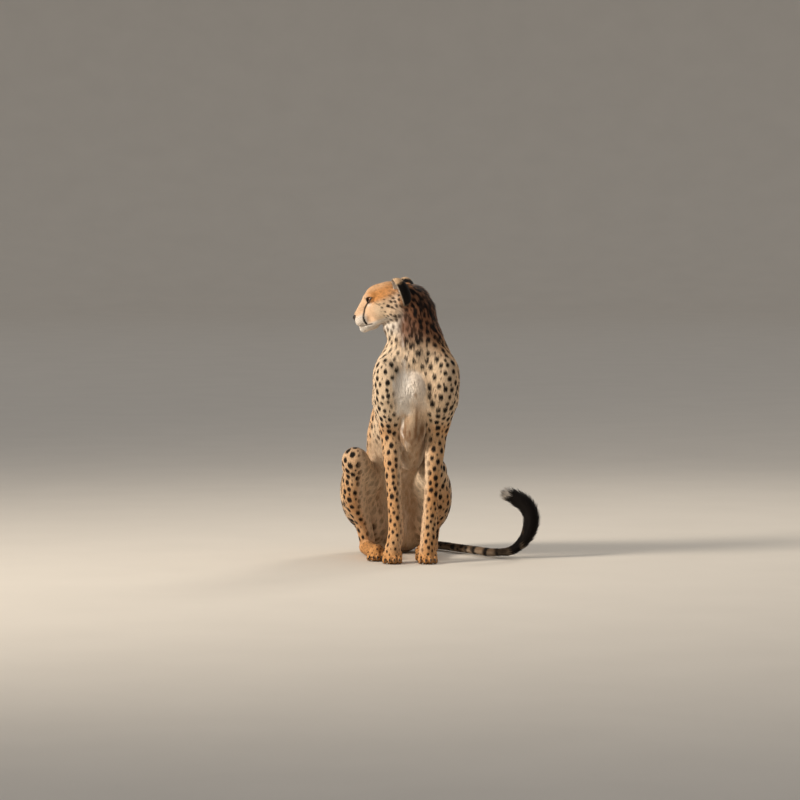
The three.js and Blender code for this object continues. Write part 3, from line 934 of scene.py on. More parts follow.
# %% [markdown]
# ## Nose
#
# The leather of the nose is broad above, with a nostril like a comma on each side and a groove down
# the middle. It is drawn from distances on a fine grid, like the skin.


# %% Nose
def nose_leather(p):
    """Two eggs, with a nostril and the slit beside it carved on each side."""
    q = head.local(p)
    d = join(4, egg((106, 0, -5), (11.2, 13.2, 7.8))(q), egg((106, 0, -12), (10.2, 5.4, 8.8))(q))
    for s in (-1, 1):
        d = carve(1.5, d, rod((117, s * 5.2, -6.2), 2.5, (106, s * 7.4, -5.8), 1.8)(q))
        d = carve(1.2, d, rod((112, s * 9.5, -7.4), 1.2, (109, s * 14.5, -4.6), 0.8)(q))
    return d + 1.1 * np.exp(-((q[:, 1] / 0.8) ** 2)) * smooth(-q[:, 2], 5, 9)


nose_middle = head.at(106, 0, -9)
nose_points, nose_quads = draw(nose_leather, nose_middle - 20, nose_middle + 20, 0.7)
nose_mesh = new_mesh("nose", to_model(nose_points), nose_quads)
nose_mesh.shade_smooth()
show("leather_nose", nose_mesh, "nose_leather", "nose")
print("nose", len(nose_points), "points")

# %% [markdown]
# ## Claws
#
# A cheetah's claws can't be drawn in all the way, so four show on each foot. Each is a horn bent
# down, deeper than it is wide, swept along a curve as rings that shrink to a point.

# %% Sixteen claws
CLAW_RINGS, CLAW_SIDES = 9, 12


def swept(line, radii, narrow=1.0, sides=CLAW_SIDES):
    """A closed tube of rings along a line that bends in an upright plane, ending in a point."""
    way = unit(np.gradient(line, axis=0))
    level = unit(np.cross(way, UP))
    rise = np.cross(level, way)
    turn = np.linspace(0, 2 * math.pi, sides, endpoint=False)
    ring = level[:, None] * np.cos(turn)[:, None] * narrow + rise[:, None] * np.sin(turn)[:, None]
    rings = (line[:, None] + ring * radii[:, None, None]).reshape(-1, 3)
    points = np.vstack([rings, line[-1] + way[-1] * radii[-1]])
    faces = [tuple(range(sides))]
    for i in range(len(line) - 1):
        for j in range(sides):
            k, here, ahead = (j + 1) % sides, i * sides, (i + 1) * sides
            faces.append((here + j, here + k, ahead + k, ahead + j))
    last = (len(line) - 1) * sides
    faces += [(last + j, last + (j + 1) % sides, len(points) - 1) for j in range(sides)]
    return points, faces


def joined(name, shapes):
    """One mesh of many closed shapes."""
    mesh = bpy.data.meshes.new(name)
    points, faces, start = [], [], 0
    for shape_points, shape_faces in shapes:
        points.append(shape_points)
        faces += [tuple(i + start for i in face) for face in shape_faces]
        start += len(shape_points)
    mesh.from_pydata(to_model(np.vstack(points)).tolist(), [], faces)
    face_out(mesh)
    mesh.shade_smooth()
    return mesh


def claw(place, size, out, ahead):
    """One claw: it leaves the end of its toe level, and bends down to a point."""
    reach = size["reach"] + ahead
    out = out * toe_spacing(size)
    stations = np.array(
        [
            (*place.at(reach - 7, out, 15.2), 3.4),
            (*place.at(reach + 0.5, out, 15.0), 3.2),
            (*place.at(reach + 5.5, out, 11.8), 2.5),
            (*place.at(reach + 8.6, out, 5.2), 0.7),
        ]
    )
    line = curve_through(stations, CLAW_RINGS)
    return swept(line[:, :3], line[:, 3], narrow=0.66)


for name, limb in limbs.items():
    for which, place, size in (("fore", limb["paw"], FORE_PAW), ("hind", limb["foot"], HIND_PAW)):
        horns = [claw(place, size, out, ahead) for out, ahead in TOES]
        claws = joined(f"claws_{which}_{name}", horns)
        show(claws.name, claws, "claw_horn", *(f"claw_{which}_{name}_{i}" for i in range(1, 5)))
print("claws", len(TOES), "on each of", len(limbs) * 2, "feet")

# %% [markdown]
# ## Laying the skin out flat
#
# A coat is baked onto pictures when the part is put on the shelf, so the skin is cut into flat
# islands once. Every tuft then takes a small patch of that layout, at the place of its root.

# %% Unwrap
MAP = "OFBake"
ISLAND_ANGLE, ISLAND_MARGIN = 66, 0.002  # in degrees, and as a share of the layout


def unwrap(piece):
    """Lays a piece's mesh out flat, in islands that don't overlap."""
    bpy.context.view_layer.objects.active = piece
    piece.select_set(True)
    bpy.ops.object.mode_set(mode="EDIT")
    bpy.ops.mesh.select_all(action="SELECT")
    angle = math.radians(ISLAND_ANGLE)
    bpy.ops.uv.smart_project(angle_limit=angle, island_margin=ISLAND_MARGIN)
    bpy.ops.object.mode_set(mode="OBJECT")
    piece.select_set(False)
    piece.data.uv_layers[0].name = MAP


JUST_INSIDE = 0.999999  # keeps the last root inside the last triangle


class Ground:
    """A mesh that hair can grow on: its triangles, normals and flat layout."""

    def __init__(self, piece):
        unwrap(piece)
        mesh = piece.data
        mesh.calc_loop_triangles()
        count = len(mesh.loop_triangles)
        corners, loops = np.empty(count * 3, np.int32), np.empty(count * 3, np.int32)
        mesh.loop_triangles.foreach_get("vertices", corners)
        mesh.loop_triangles.foreach_get("loops", loops)
        layout = np.empty(len(mesh.loops) * 2, np.float32)
        normals = np.empty(len(mesh.vertices) * 3, np.float32)
        mesh.uv_layers[MAP].data.foreach_get("uv", layout)
        mesh.vertex_normals.foreach_get("vector", normals)
        self.mesh = mesh
        self.points = points_of(mesh) * 1000 + MIDDLE
        self.normals = normals.reshape(-1, 3).astype(float)
        self.corners = corners.reshape(-1, 3)
        self.flat = layout.reshape(-1, 2)[loops.reshape(-1, 3)]
        a, b, c = (self.points[self.corners[:, i]] for i in range(3))
        self.areas = np.linalg.norm(np.cross(b - a, c - a), axis=1) / 2

    def roots(self, density):
        """Evenly strewn places: which triangle each is in, and the shares of its three corners."""
        expected = np.cumsum(self.areas * density[self.corners].mean(axis=1))
        count = int(expected[-1])
        steps = np.arange(count) + chance.random(count)
        triangle = np.searchsorted(expected, np.minimum(steps, expected[-1] * JUST_INSIDE))
        a, b = chance.random((2, len(triangle)))
        over = a + b > 1
        a[over], b[over] = 1 - a[over], 1 - b[over]
        return triangle, np.stack([1 - a - b, a, b], axis=1)

    def read(self, values, triangle, shares):
        """A value of the points, at the roots."""
        corner_values = values[self.corners[triangle]]
        return (corner_values * shares.reshape(shares.shape + (1,) * (values.ndim - 1))).sum(axis=1)


body = Ground(skin_object)
print("skin area", round(body.areas.sum() / 1e6, 3), "square metres")

# %% [markdown]
# ## The lie of the coat
#
# Hair runs from the nose back over the skull, down the neck and body, down each leg to the toes and
# along the tail. Combing by hand is the usual way in a hair editor. Here each part of the body has
# its own direction, the parts are blended, and the field is smoothed over the skin and pressed flat.


# %% The direction of each part's hair
def trunk_flow(p):
    """Down the line of the body, and straight down on the breast."""
    way = np.diff(STATIONS[:, :3], axis=0)
    middle_heights = (heights[1:] + heights[:-1]) / 2
    down = np.stack([-np.interp(p[:, 2], middle_heights, way[:, i]) for i in range(3)], axis=1)
    front = smooth(breastward(p), 0.3, 0.9)[:, None]
    return unit(unit(down) * (1 - front) + np.array([0, 0.12, -1]) * front)


def head_flow(p):
    """Back from the nose, spreading outward behind the eyes and down under the jaw."""
    f, l, u = head.local(p).T
    backward = np.full(len(p), -1.0)
    outward = np.sign(l) * 0.25 * smooth(-f, -60, 20)
    upward = -0.15 - 0.75 * smooth(-u, -10, 45) * smooth(-f, -90, 0)
    return unit(np.stack([backward, outward, upward], 1)) @ head.axes


def tail_flow(p):
    t = along_tail(p)
    way = np.gradient(tail_line, axis=0)
    return unit(np.stack([np.interp(t, tail_t, way[:, i]) for i in range(3)], axis=1))


def flow_of_parts(p):
    """The direction of the hair in each part, as if the part were alone."""
    flows = {"trunk": trunk_flow(p), "head": head_flow(p), "tail": tail_flow(p)}
    for name, limb in limbs.items():
        shoulder, elbow, wrist = limb["shoulder"], limb["elbow"], limb["wrist"]
        low = smooth(-p[:, 2], -elbow[2] - 60, -elbow[2] + 40)[:, None]
        high = smooth(p[:, 2], 480, 580)[:, None]
        arm = unit(unit(elbow - shoulder) * (1 - low) + unit(wrist - elbow) * low)
        flows[f"foreleg_{name}"] = unit(arm * (1 - high) + flows["trunk"] * high)
        forward = smooth(-p[:, 2], -60, -25)[:, None]
        over_toes = limb["paw"].way(1, 0, -0.35) * forward
        flows[f"forepaw_{name}"] = unit(np.array([0, 0, -1]) * (1 - forward) + over_toes)
        knee, hock, hip = limb["knee"], limb["hock"], limb["hip"]
        flows[f"thigh_{name}"] = np.tile(unit(unit(knee - hip) * 0.8 + (0, 0, -0.85)), (len(p), 1))
        flows[f"shank_{name}"] = np.tile(unit(hock - knee), (len(p), 1))
        flows[f"foot_{name}"] = np.tile(limb["foot"].way(1, 0, -0.15), (len(p), 1))
    return flows


# %% One smooth flow over the whole skin
def pressed(v, normals):
    """Directions pressed onto the skin."""
    return unit(v - (v * normals).sum(1)[:, None] * normals)


def neighbours(mesh):
    """The two ends of every edge."""
    edges = np.empty(len(mesh.edges) * 2, np.int32)
    mesh.edges.foreach_get("vertices", edges)
    return edges.reshape(-1, 2)


def smoothed(values, edges, rounds):
    """Values averaged with their neighbours' again and again."""
    count = np.bincount(edges.ravel(), minlength=len(values))[:, None]
    for _ in range(rounds):
        total = np.stack(
            [
                np.bincount(edges[:, 0], column[edges[:, 1]], len(values))
                + np.bincount(edges[:, 1], column[edges[:, 0]], len(values))
                for column in values.T
            ],
            axis=1,
        )
        values = values * 0.4 + 0.6 * total / np.maximum(count, 1)
    return values


part_distances = flesh(body.points)[1]
body.belongs = np.stack(list(belonging(part_distances).values()), axis=1)
wide = belonging(part_distances, blur=14)
flow = sum(wide[name][:, None] * way for name, way in flow_of_parts(body.points).items())
flow = smoothed(pressed(flow, body.normals), neighbours(skin_mesh), rounds=12)
body.flow = pressed(flow, body.normals)
print("flow on", len(body.flow), "points")

# %% [markdown]
# ## Markings
#
# A cheetah's coat is tan above and pale below, with solid round spots. The spots are placed one by
# one, each no nearer to the others than its part of the body allows, so that they are even but not
# in rows. A cell noise would be less work, but its cells can't grow and shrink over the body, and the
# skin and the tufts could not both read it so easily. Some places have rules of their own: the stripe
# from the eye to the mouth, the lips, the streaks on the nape and the rings on the tail.
#
# Skin and coat ask the same function for their colour, so they always agree.


# %% Noise
PRIMES = (73856093, 19349663, 83492791)  # large primes scatter the cells' numbers well
SCATTER, SEED_STEP = 1274126177, 2654435761


def noise(p, size, seed=0):
    """Smooth lumps of about this size, from -1 to 1."""
    q = p / size
    cell = np.floor(q).astype(np.int64)
    t = q - cell
    t = t * t * (3 - 2 * t)
    total = np.zeros(len(p))
    for i in range(8):
        corner = np.array([i & 1, i >> 1 & 1, i >> 2 & 1])
        x, y, z = (cell + corner).T
        mixed = (x * PRIMES[0]) ^ (y * PRIMES[1]) ^ (z * PRIMES[2]) ^ (seed * SEED_STEP)
        mixed = (mixed ^ (mixed >> 13)) * SCATTER & 0x7FFFFFFF
        value = (mixed % 65536) / 32767.5 - 1
        total += value * np.prod(np.where(corner, t, 1 - t), axis=1)
    return total


# %% Colours
def hue(code):
    """A colour from its common code, as the linear light that Blender mixes."""
    parts = np.array([(code >> shift & 255) / 255 for shift in (16, 8, 0)])
    return np.where(parts < 0.04045, parts / 12.92, ((parts + 0.055) / 1.055) ** 2.4)


def blend(colour, other, share):
    """A colour with a share of another in it, point by point."""
    share = np.asarray(share)[:, None]
    return colour * (1 - share) + other * share


BLACK, BROWN = hue(0x17110E), hue(0x6F4425)  # spots, and spots where the fur is pale
TAN, RUST, SAND = hue(0xD6A474), hue(0xD48E48), hue(0xE0BA90)  # the ground of the coat
CREAM, WHITE = hue(0xEED6B8), hue(0xFAF0E4)  # the pale parts
# KEEL_SHADE is painted shade: a dark brown that darkens the foot of the keel towards the shadow
# between the legs.
AUBURN, DUN, KEEL_SHADE = hue(0x8C5B40), hue(0xA67B56), hue(0x7E5A3E)  # the nape, the breast and its keel
BLUSH, GINGER = hue(0xE6C09C), hue(0xD08F4C)  # the bridge of the nose, and the feet
LIP, PAD = hue(0x3A2A22), hue(0x2A201B)
ASH, BARK = hue(0xA48F79), hue(0x765A40)  # the sides of the tail and its upper side
print("tan, as linear light", TAN.round(3))

# %% [markdown]
# ## Where the spots are
#
# The spots are thrown like darts: points of the skin are tried in a random order, and one is kept
# where no kept spot is too near. Equal distances would draw rows, so every point asks for a little
# more or less room than its neighbours, and a spot with more room is larger. Small spots are then
# thrown into what room is left.


# %% Throwing the spots
def place_bands(p, belongs):
    """The radius and the spacing of the main spots at each point."""
    z = p[:, 2]
    f = head.local(p)[:, 0]
    neckward = smooth(z, 640, 760)
    right_breast = smooth(-p[:, 0], -20, 40) * smooth(-p[:, 1], -60, 0)
    left_shoulder = smooth(p[:, 0], 30, 100) * smooth(z, 380, 460) * (1 - neckward)
    trunk_radius = 7.8 - 1.0 * neckward - 2.2 * right_breast * (1 - neckward)
    trunk_spacing = 26 - 9.5 * neckward - 5 * right_breast * (1 - neckward) - 4 * left_shoulder
    head_radius = 2.6 + 2.2 * smooth(-f, -20, 50)
    leg_down = smooth(-z, -380, -80)
    radius = {
        "trunk": trunk_radius,
        "head": head_radius,
        "tail": 8.5,
        "foreleg": 7.4 - 2.2 * leg_down,
        "forepaw": 2.6,
        "thigh": 9.6,
        "shank": 7.2,
        "foot": 2.6,
    }
    spacing = {
        "trunk": trunk_spacing,
        "head": 9.5 + 3.5 * smooth(-f, -20, 50),
        "tail": 26,
        "foreleg": 21 - 4.5 * leg_down - 2.5 * left_shoulder,
        "forepaw": 11,
        "thigh": 25,
        "shank": 20,
        "foot": 12,
    }
    shares = {part: share_of(part, belongs) for part in radius}
    return [sum(shares[part] * value for part, value in table.items()) for table in (radius, spacing)]


DART_CELL = 30.0  # about the largest spacing, so that a spot too near is at most one cell away
TRIES = 45000
SMALL_SPACING, SMALL_SIZE = 0.62, 0.48  # of a small spot, beside a main one's


def cells_round(p, cell):
    """The cell that a place is in, with the 26 round it; its own is the middle one."""
    x, y, z = (int(v) for v in np.floor(p / cell))
    return [(x + a, y + b, z + c) for a in (-1, 0, 1) for b in (-1, 0, 1) for c in (-1, 0, 1)]


def within(p, q, distance):
    return (p[0] - q[0]) ** 2 + (p[1] - q[1]) ** 2 + (p[2] - q[2]) ** 2 < distance**2


def throw_darts(points, spacing, taken):
    """Picks points in a random order, none nearer to another than the mean of their spacings."""
    picked = []
    for i in chance.permutation(len(points)):
        keys = cells_round(points[i], DART_CELL)
        near = (dart for key in keys for dart in taken.get(key, ()))
        if not any(within(points[i], q, (room + spacing[i]) / 2) for q, room in near):
            taken.setdefault(keys[len(keys) // 2], []).append((points[i], spacing[i]))
            picked.append(i)
    return np.array(picked)


belongs_at = dict(zip(PART_NAMES, body.belongs.T))
spot_radius, spot_spacing = place_bands(body.points, belongs_at)
uneven = chance.uniform(0.82, 1.22, len(body.points))
spot_spacing, spot_radius = spot_spacing * uneven, spot_radius * (0.25 + 0.75 * uneven)
some = chance.choice(len(body.points), TRIES, replace=False)
taken = {}
main = some[throw_darts(body.points[some], spot_spacing[some], taken)]
small = some[throw_darts(body.points[some], spot_spacing[some] * SMALL_SPACING, taken)]
spots = np.concatenate([main, small])
main_size = spot_radius[main] * chance.uniform(0.84, 1.12, len(main))
small_size = spot_radius[small] * SMALL_SIZE * chance.uniform(0.6, 1.2, len(small))
spot_size = np.concatenate([main_size, small_size])
print("spots", len(main), "and", len(small), "small ones between")


# %% How much of each point a spot covers
SPOT_STRETCH = 1.28  # a spot is this much longer along the hair than across it


class Buckets:
    """Points sorted into cells, to find those near a place."""

    def __init__(self, points, cell=24.0):
        self.cell = cell
        keys = np.floor(points / cell).astype(int)
        order = np.lexsort(keys.T)
        self.members = {}
        sorted_keys = keys[order]
        steps = np.diff(sorted_keys, axis=0, prepend=sorted_keys[:1] - 1)
        starts = np.flatnonzero(np.any(steps, axis=1))
        for start, group in zip(starts, np.split(order, starts[1:])):
            self.members[tuple(sorted_keys[start])] = group

    def near(self, p):
        keys = cells_round(p, self.cell)
        found = [self.members[key] for key in keys if key in self.members]
        return np.concatenate(found) if found else np.empty(0, int)


def spotted(p):
    """From 0 to 1, how much of a spot is at each point."""
    cover = np.zeros(len(p))
    buckets = Buckets(p)
    ragged = 0.16 * noise(p, 3.2, 5) + 0.10 * noise(p, 7.5, 6)
    for i, size in zip(spots, spot_size):
        near = buckets.near(body.points[i])
        off = p[near] - body.points[i]
        along_hair = off @ body.flow[i]
        across = np.linalg.norm(off - along_hair[:, None] * body.flow[i], axis=1)
        far = np.hypot(along_hair / SPOT_STRETCH, across) / size + ragged[near]
        cover[near] = np.maximum(cover[near], smooth(-far, -1.14, -0.86))
    return cover


# %% [markdown]
# ## The colours of the face
#
# The bridge of the nose is pink and sandy, the forehead and the temples are rust, and the cheeks,
# the whisker pads, the chin and a patch under each eye are pale. A black stripe runs from the inner
# corner of each eye to the corner of the mouth. Such a stripe could be painted by hand in texture
# paint. It is a short path with a thickness here, in the head's own frame, so that both sides are
# one drawing.


# %% Face
def face_colours(q, colour):
    """Colours of the head, in its own frame."""
    f, l, u = q.T
    side = np.abs(l)
    cheek = smooth(-u, -20, 10) * smooth(f, -40, 10)
    colour = blend(colour, CREAM, 0.6 * cheek)
    colour = blend(colour, BLUSH, smooth(f, 24, 50) * 0.9)
    temple = smooth(u, 6, 26) * smooth(-f, -60, -34)
    colour = blend(colour, RUST, 0.9 * temple * (1 - 0.5 * smooth(u, 40, 62)))
    pads = smooth(f, 64, 82) * smooth(-u, -2, 14)
    chin = smooth(-u, 34, 44) * smooth(f, -30, 20)
    colour = blend(colour, WHITE * 0.9, np.maximum(pads * 0.85, chin))
    eyes_at = np.stack([f - EYE[0], side - EYE[1], u - EYE[2]], axis=1)
    below_eye = np.exp(-(((eyes_at - (12, 2, -14)) / (13, 12, 6.5)) ** 2).sum(1))
    above_eye = np.exp(-(((eyes_at - (10, 0, 15)) / (10, 11, 4.5)) ** 2).sum(1))
    return blend(colour, WHITE, np.clip(0.8 * below_eye + 0.35 * above_eye, 0, 1))


def near_path(q, path):
    """How far each point is from a path drawn on the side of the face, both seen from the side."""
    fine = curve_through(np.column_stack([path, np.zeros(len(path))]), 60)[:, :2]
    return np.sqrt(((q[:, None, [0, 2]] - fine[None]) ** 2).sum(2).min(axis=1))


# Ahead and up, from the inner corner of the eye to the corner of the mouth, and from the outer
# corner of the eye back across the cheek.
STRIPE = np.array(
    [(49, 23), (57, 20), (64, 15), (71, 7), (76, -3), (80, -15), (81, -26), (79, -36)], float
)
CHEEK_LINE = np.array([(31, 21), (26, 14), (20, 6), (15, 1)], float)
DOT_ROWS, DOT_GAP = 6.4, 6.2  # between the rows of whisker dots, and between the dots of a row


def dark_face(q):
    """The stripes of the face, the lids' rims and the whisker dots, from 0 to 1."""
    f, l, u = q.T
    side = np.abs(l)
    dark = np.zeros(len(q))
    near = (f > 8) & (side > 11)
    half = 2.8 + 0.8 * smooth(-u, 0, 30) + 0.5 * noise(q, 5, 15)
    dark[near] = smooth(half[near] - near_path(q[near], STRIPE), -0.8, 0.8)
    thin = 1.3 + 1.6 * noise(q[near], 4, 16)
    cheek_line = 0.6 * smooth(thin - near_path(q[near], CHEEK_LINE), -0.8, 0.8)
    dark[near] = np.maximum(dark[near], cheek_line)
    for s in (-1, 1):
        out, ball, slit, _ = eye_opening(q, s)
        rim = smooth(-slit, -5.0, -2.6) * smooth(out, 2, 7) * smooth(-ball, -24, -19)
        dark = np.maximum(dark, rim)
    rows = np.abs((u + 12 + (f - 84) * 0.18) / DOT_ROWS)
    row = np.round(rows)
    dot = np.hypot((rows - row) * DOT_ROWS, ((f + row * 2.3) % DOT_GAP) - DOT_GAP / 2)
    dots = smooth(-dot, -1.7, -0.7) * smooth(f, 74, 80) * smooth(-f, -104, -99)
    dots = dots * smooth(side, 10, 15) * smooth(-u, 6, 10) * smooth(u, -38, -34)
    return np.maximum(dark, 0.6 * dots)


def lip_line(q):
    """The dark edge of the mouth, widest at its corner."""
    f, _, u = q.T
    thin = 1.2 + 1.4 * smooth(-f, -84, -62)
    line = smooth(thin - np.abs(u - mouth_height(f)), -0.8, 0.8)
    return line * smooth(f, 56, 64) * smooth(-f, -104, -99)


# %% [markdown]
# ## The colours of the body
#
# The breast and belly are pale and the spots fade out there, with bare brown down the keel, which
# darkens towards its foot with painted shade, to meet the belly's shadow between the legs. The breast
# on the animal's right, which faces the warm lamp, is painted paler, as painted light. The inner
# sides of the legs are cream, the feet ginger, and the nape auburn with dark streaks. The tail has
# spots, then rings, then a black brush with a pale tip.
#
# Each function below lays its own colours over those before it. Where the spots fade, it says how
# much of each spot is left.


# %% Breast and belly
# Half the width of the bare part of the breast and of its white, at heights from the bottom up.
BREAST_BARE = np.array(
    [(300, 30), (400, 36), (490, 46), (545, 45), (580, 30), (602, 10), (614, -12)], float
)
BREAST_WHITE = np.array(
    [(440, 0), (470, 16), (500, 25), (540, 30), (572, 30), (592, 14), (606, 0)], float
)


def breast_colours(p, normals, parts, breast, colour):
    """The colours with those of the breast and belly, and how much is left of each spot."""
    z = p[:, 2]
    torso = parts["trunk"] + share_of("foreleg", parts) * smooth(z, 400, 470)
    front = smooth(breast, 0.3, 0.8) * torso
    # Painted light: the breast on the animal's right, where it faces forward towards the warm key
    # lamp, is painted paler with cream.
    right = smooth(-(p[:, 0] - CHEST_X), -10, 90) * smooth(-normals[:, 1], -0.2, 0.5)
    right = right * smooth(z, 300, 420)
    colour = blend(colour, CREAM, np.clip(0.7 * front + 0.35 * right * torso, 0, 0.85))
    streak = noise(p * (1, 0.7, 0.16), 6.5, 21) + 0.4 * noise(p * (1, 0.7, 0.3), 3.0, 22)
    bare = np.interp(z, *BREAST_BARE.T) + 11 * noise(p * (1, 1, 0.6), 17, 24)
    keel = smooth(bare - np.abs(p[:, 0]), -10, 10) * smooth(breast, 0.3, 0.65) * torso
    colour = blend(colour, WHITE, 0.6 * keel * smooth(z, 450, 530))
    patch = np.exp(-(((p[:, 0] - 15) / 12) ** 2) - ((z - 552) / 20) ** 2)
    band = 0.5 * np.exp(-(((p[:, 0] - CHEST_X) / 15) ** 2)) * smooth(-z, -556, -530)
    brown = np.clip(smooth(-z, -500, -400) + patch + band, 0, 1)
    colour = blend(colour, DUN, keel * brown * smooth(streak - 0.8 * patch, -0.5, 0.6) * 0.9)
    # Painted shade: the keel darkens towards its foot, to meet the shadowed belly between the legs.
    colour = blend(colour, KEEL_SHADE, 0.6 * keel * smooth(-z, -470, -400))
    half = np.interp(z, *BREAST_WHITE.T) + 15 * noise(p * (1, 1, 0.45), 14, 23)
    white = smooth(half - np.abs(p[:, 0] + 24), -14, 14) * smooth(breast, 0.2, 0.5)
    white = white * (half > 2) * torso
    colour = blend(colour, WHITE, 0.9 * white * (1 - 0.3 * smooth(streak, 0.1, 0.8)))
    belly = smooth(breast, 0.2, 0.6) * smooth(-z, -400, -330) * parts["trunk"]
    colour = blend(colour, CREAM, 0.6 * belly)
    colour = blend(colour, DUN, belly * (0.12 + 0.4 * smooth(streak, -0.2, 0.7)))
    fringe = smooth(breast, 0.4, 0.85) * smooth(z, 690, 745) * parts["trunk"]
    colour = blend(colour, WHITE, 0.85 * fringe)
    return colour, (1 - 0.97 * keel) * (1 - white) * (1 - belly) * (1 - 0.25 * fringe)


# %% Legs and nape
def share_of_feet(parts):
    return share_of("forepaw", parts) + share_of("foot", parts)


def leg_colours(p, normals, parts, colour, keep):
    """The colours with those of the legs, and how much is left of each spot."""
    z = p[:, 2]
    colour = blend(colour, CREAM, 0.35 * share_of("thigh", parts))
    for name, limb in limbs.items():
        inward = -limb["side"] * normals[:, 0]
        low = smooth(-z, -460, -380)
        inner = smooth(inward, 0.3, 0.85) * parts[f"foreleg_{name}"] * low * 0.8
        inner = inner + smooth(inward, 0.1, 0.7) * (parts[f"thigh_{name}"] + parts[f"shank_{name}"])
        colour = blend(colour, CREAM, 0.9 * inner)
        keep = keep * (1 - 0.65 * inner)
    legs = share_of("foreleg", parts) * smooth(-z, -330, -120)
    ginger = np.clip(0.8 * share_of_feet(parts) + 0.3 * legs, 0, 1)
    return blend(colour, GINGER, ginger), keep


def nape_marks(p, parts, breast):
    """How much of the nape's auburn and of its dark streaks is at each point."""
    z = p[:, 2]
    nape_of_head = parts["head"] * smooth(-head.local(p)[:, 0], 30, 60)
    neck = smooth(z, 600, 700) * (parts["trunk"] + nape_of_head)
    rear = np.maximum(smooth(p[:, 0], -54, -18), smooth(p[:, 1], 14, 54)) * neck
    streaks = noise(p * (1, 1, 0.42), 6.5, 3) + 0.35 * noise(p * (1, 1, 0.6), 3.2, 4)
    ridge = smooth(-breast, 0.1, 0.75)
    edge = -0.06 - 0.12 * ridge + 0.3 * smooth(-z, -700, -620)
    return 0.92 * rear * smooth(z, 640, 730), rear * smooth(streaks, edge, edge + 0.25) * 0.95


# %% Tail and the whole coat
RING = 0.055  # from one ring of the tail to the next, as a share of its length
# SKIN_SHADE is painted shade: the skin is drawn darker than the hair over it, as the depth between
# hairs looks.
SKIN_SHADE = 0.8  # the skin is darker than the hair over it, as between real hairs


def tail_colours(p, normals, cover):
    """Spots, then rings, then the black brush and its pale tip."""
    t = along_tail(p)
    above = smooth(normals[:, 2], -0.3, 0.7)
    colour = blend(np.tile(ASH, (len(p), 1)), BARK, 0.65 * above)
    wave = np.sin(t * 2 * math.pi / RING + 1.2 * noise(p, 24, 8))
    ring = smooth(wave + 0.5 * noise(p, 9, 9), 0.05, 0.6)
    blotch = np.maximum(cover * smooth(-t, -0.62, -0.5), ring * smooth(t, 0.4, 0.55))
    saddle = above * 0.6 * smooth(-t, -0.5, -0.3) * smooth(noise(p, 12, 18), -0.2, 0.5)
    blotch = np.maximum(blotch, saddle)
    gaps = 0.45 * smooth(noise(p, 13, 10), 0.4, 0.7) * smooth(-t, -0.86, -0.78)
    blotch = np.maximum(blotch, smooth(t, 0.62, 0.74) * (1 - gaps))
    colour = blend(colour, BLACK, blotch)
    return blend(colour, WHITE, 0.75 * smooth(t + 0.008 * noise(p, 5, 19), 0.990, 0.997))


def paint(p, normals, belongs):
    """The colour of the coat at each point, as linear light."""
    parts = dict(zip(PART_NAMES, belongs.T))
    breast = breastward(p)
    colour = blend(np.tile(TAN, (len(p), 1)), SAND, 0.5 + 0.5 * noise(p, 60, 1))
    colour = blend(colour, RUST, 0.35 * smooth(noise(p, 38, 14), 0.1, 0.9))
    colour, keep = breast_colours(p, normals, parts, breast, colour)
    colour, keep = leg_colours(p, normals, parts, colour, keep)
    auburn, streaks = nape_marks(p, parts, breast)
    colour = blend(colour, AUBURN, auburn)
    cover = np.maximum(spotted(p) * keep, streaks)

    q = head.local(p)
    f, _, u = q.T
    face = parts["head"]
    colour = blend(colour, CREAM, 0.35 * face * smooth(f, -60, 0))
    colour = blend(colour, face_colours(q, colour), face)
    crown = smooth(u, 8, 26) * smooth(f, -70, -40) * 0.8
    cover = cover * (1 - face * np.maximum(smooth(f, 4, 24), crown))
    colour = blend(colour, blend(BROWN, BLACK, keep), cover)
    on_face = smooth(face, 0.3, 0.7)
    colour = blend(colour, LIP, 0.75 * lip_line(q) * on_face)
    colour = blend(colour, BLACK, dark_face(q) * on_face)

    colour = blend(colour, tail_colours(p, normals, cover), parts["tail"])
    pad = share_of_feet(parts) * smooth(-p[:, 2], -3.4, -1.6) * smooth(-normals[:, 2], 0.4, 0.8)
    return blend(colour, PAD, 0.9 * pad)


def set_colours(mesh, colours):
    """Keeps colours on a mesh's points, where the material finds them."""
    data = np.ones((len(colours), 4), np.float32)
    data[:, :3] = colours
    coat = mesh.color_attributes.new("coat", "FLOAT_COLOR", "POINT")
    coat.data.foreach_set("color", data.ravel())


body.colours = paint(body.points, body.normals, body.belongs)
# The skin's colours are darkened by SKIN_SHADE, as painted shade under the coat.
set_colours(skin_mesh, body.colours * SKIN_SHADE)
print("painted", len(body.colours), "points of the skin")

# %% [markdown]
# ## The coat
#
# Each tuft is a closed spike with three sides: a root triangle sunk in the skin, and a tip that
# leans along the flow. Short ones are four triangles. Long ones have a bend half way. They are strewn
# evenly, close enough to overlap like shingles. Each takes its colour from the skin that it covers,
# near its root and near its tip, so that a spot stays where it was placed and its edge stays crisp.
#
# The length, the lean and the width change over the body: a few millimetres on muzzle and paws,
# more on the flanks, and long and loose on the nape, breast, belly and the end of the tail.


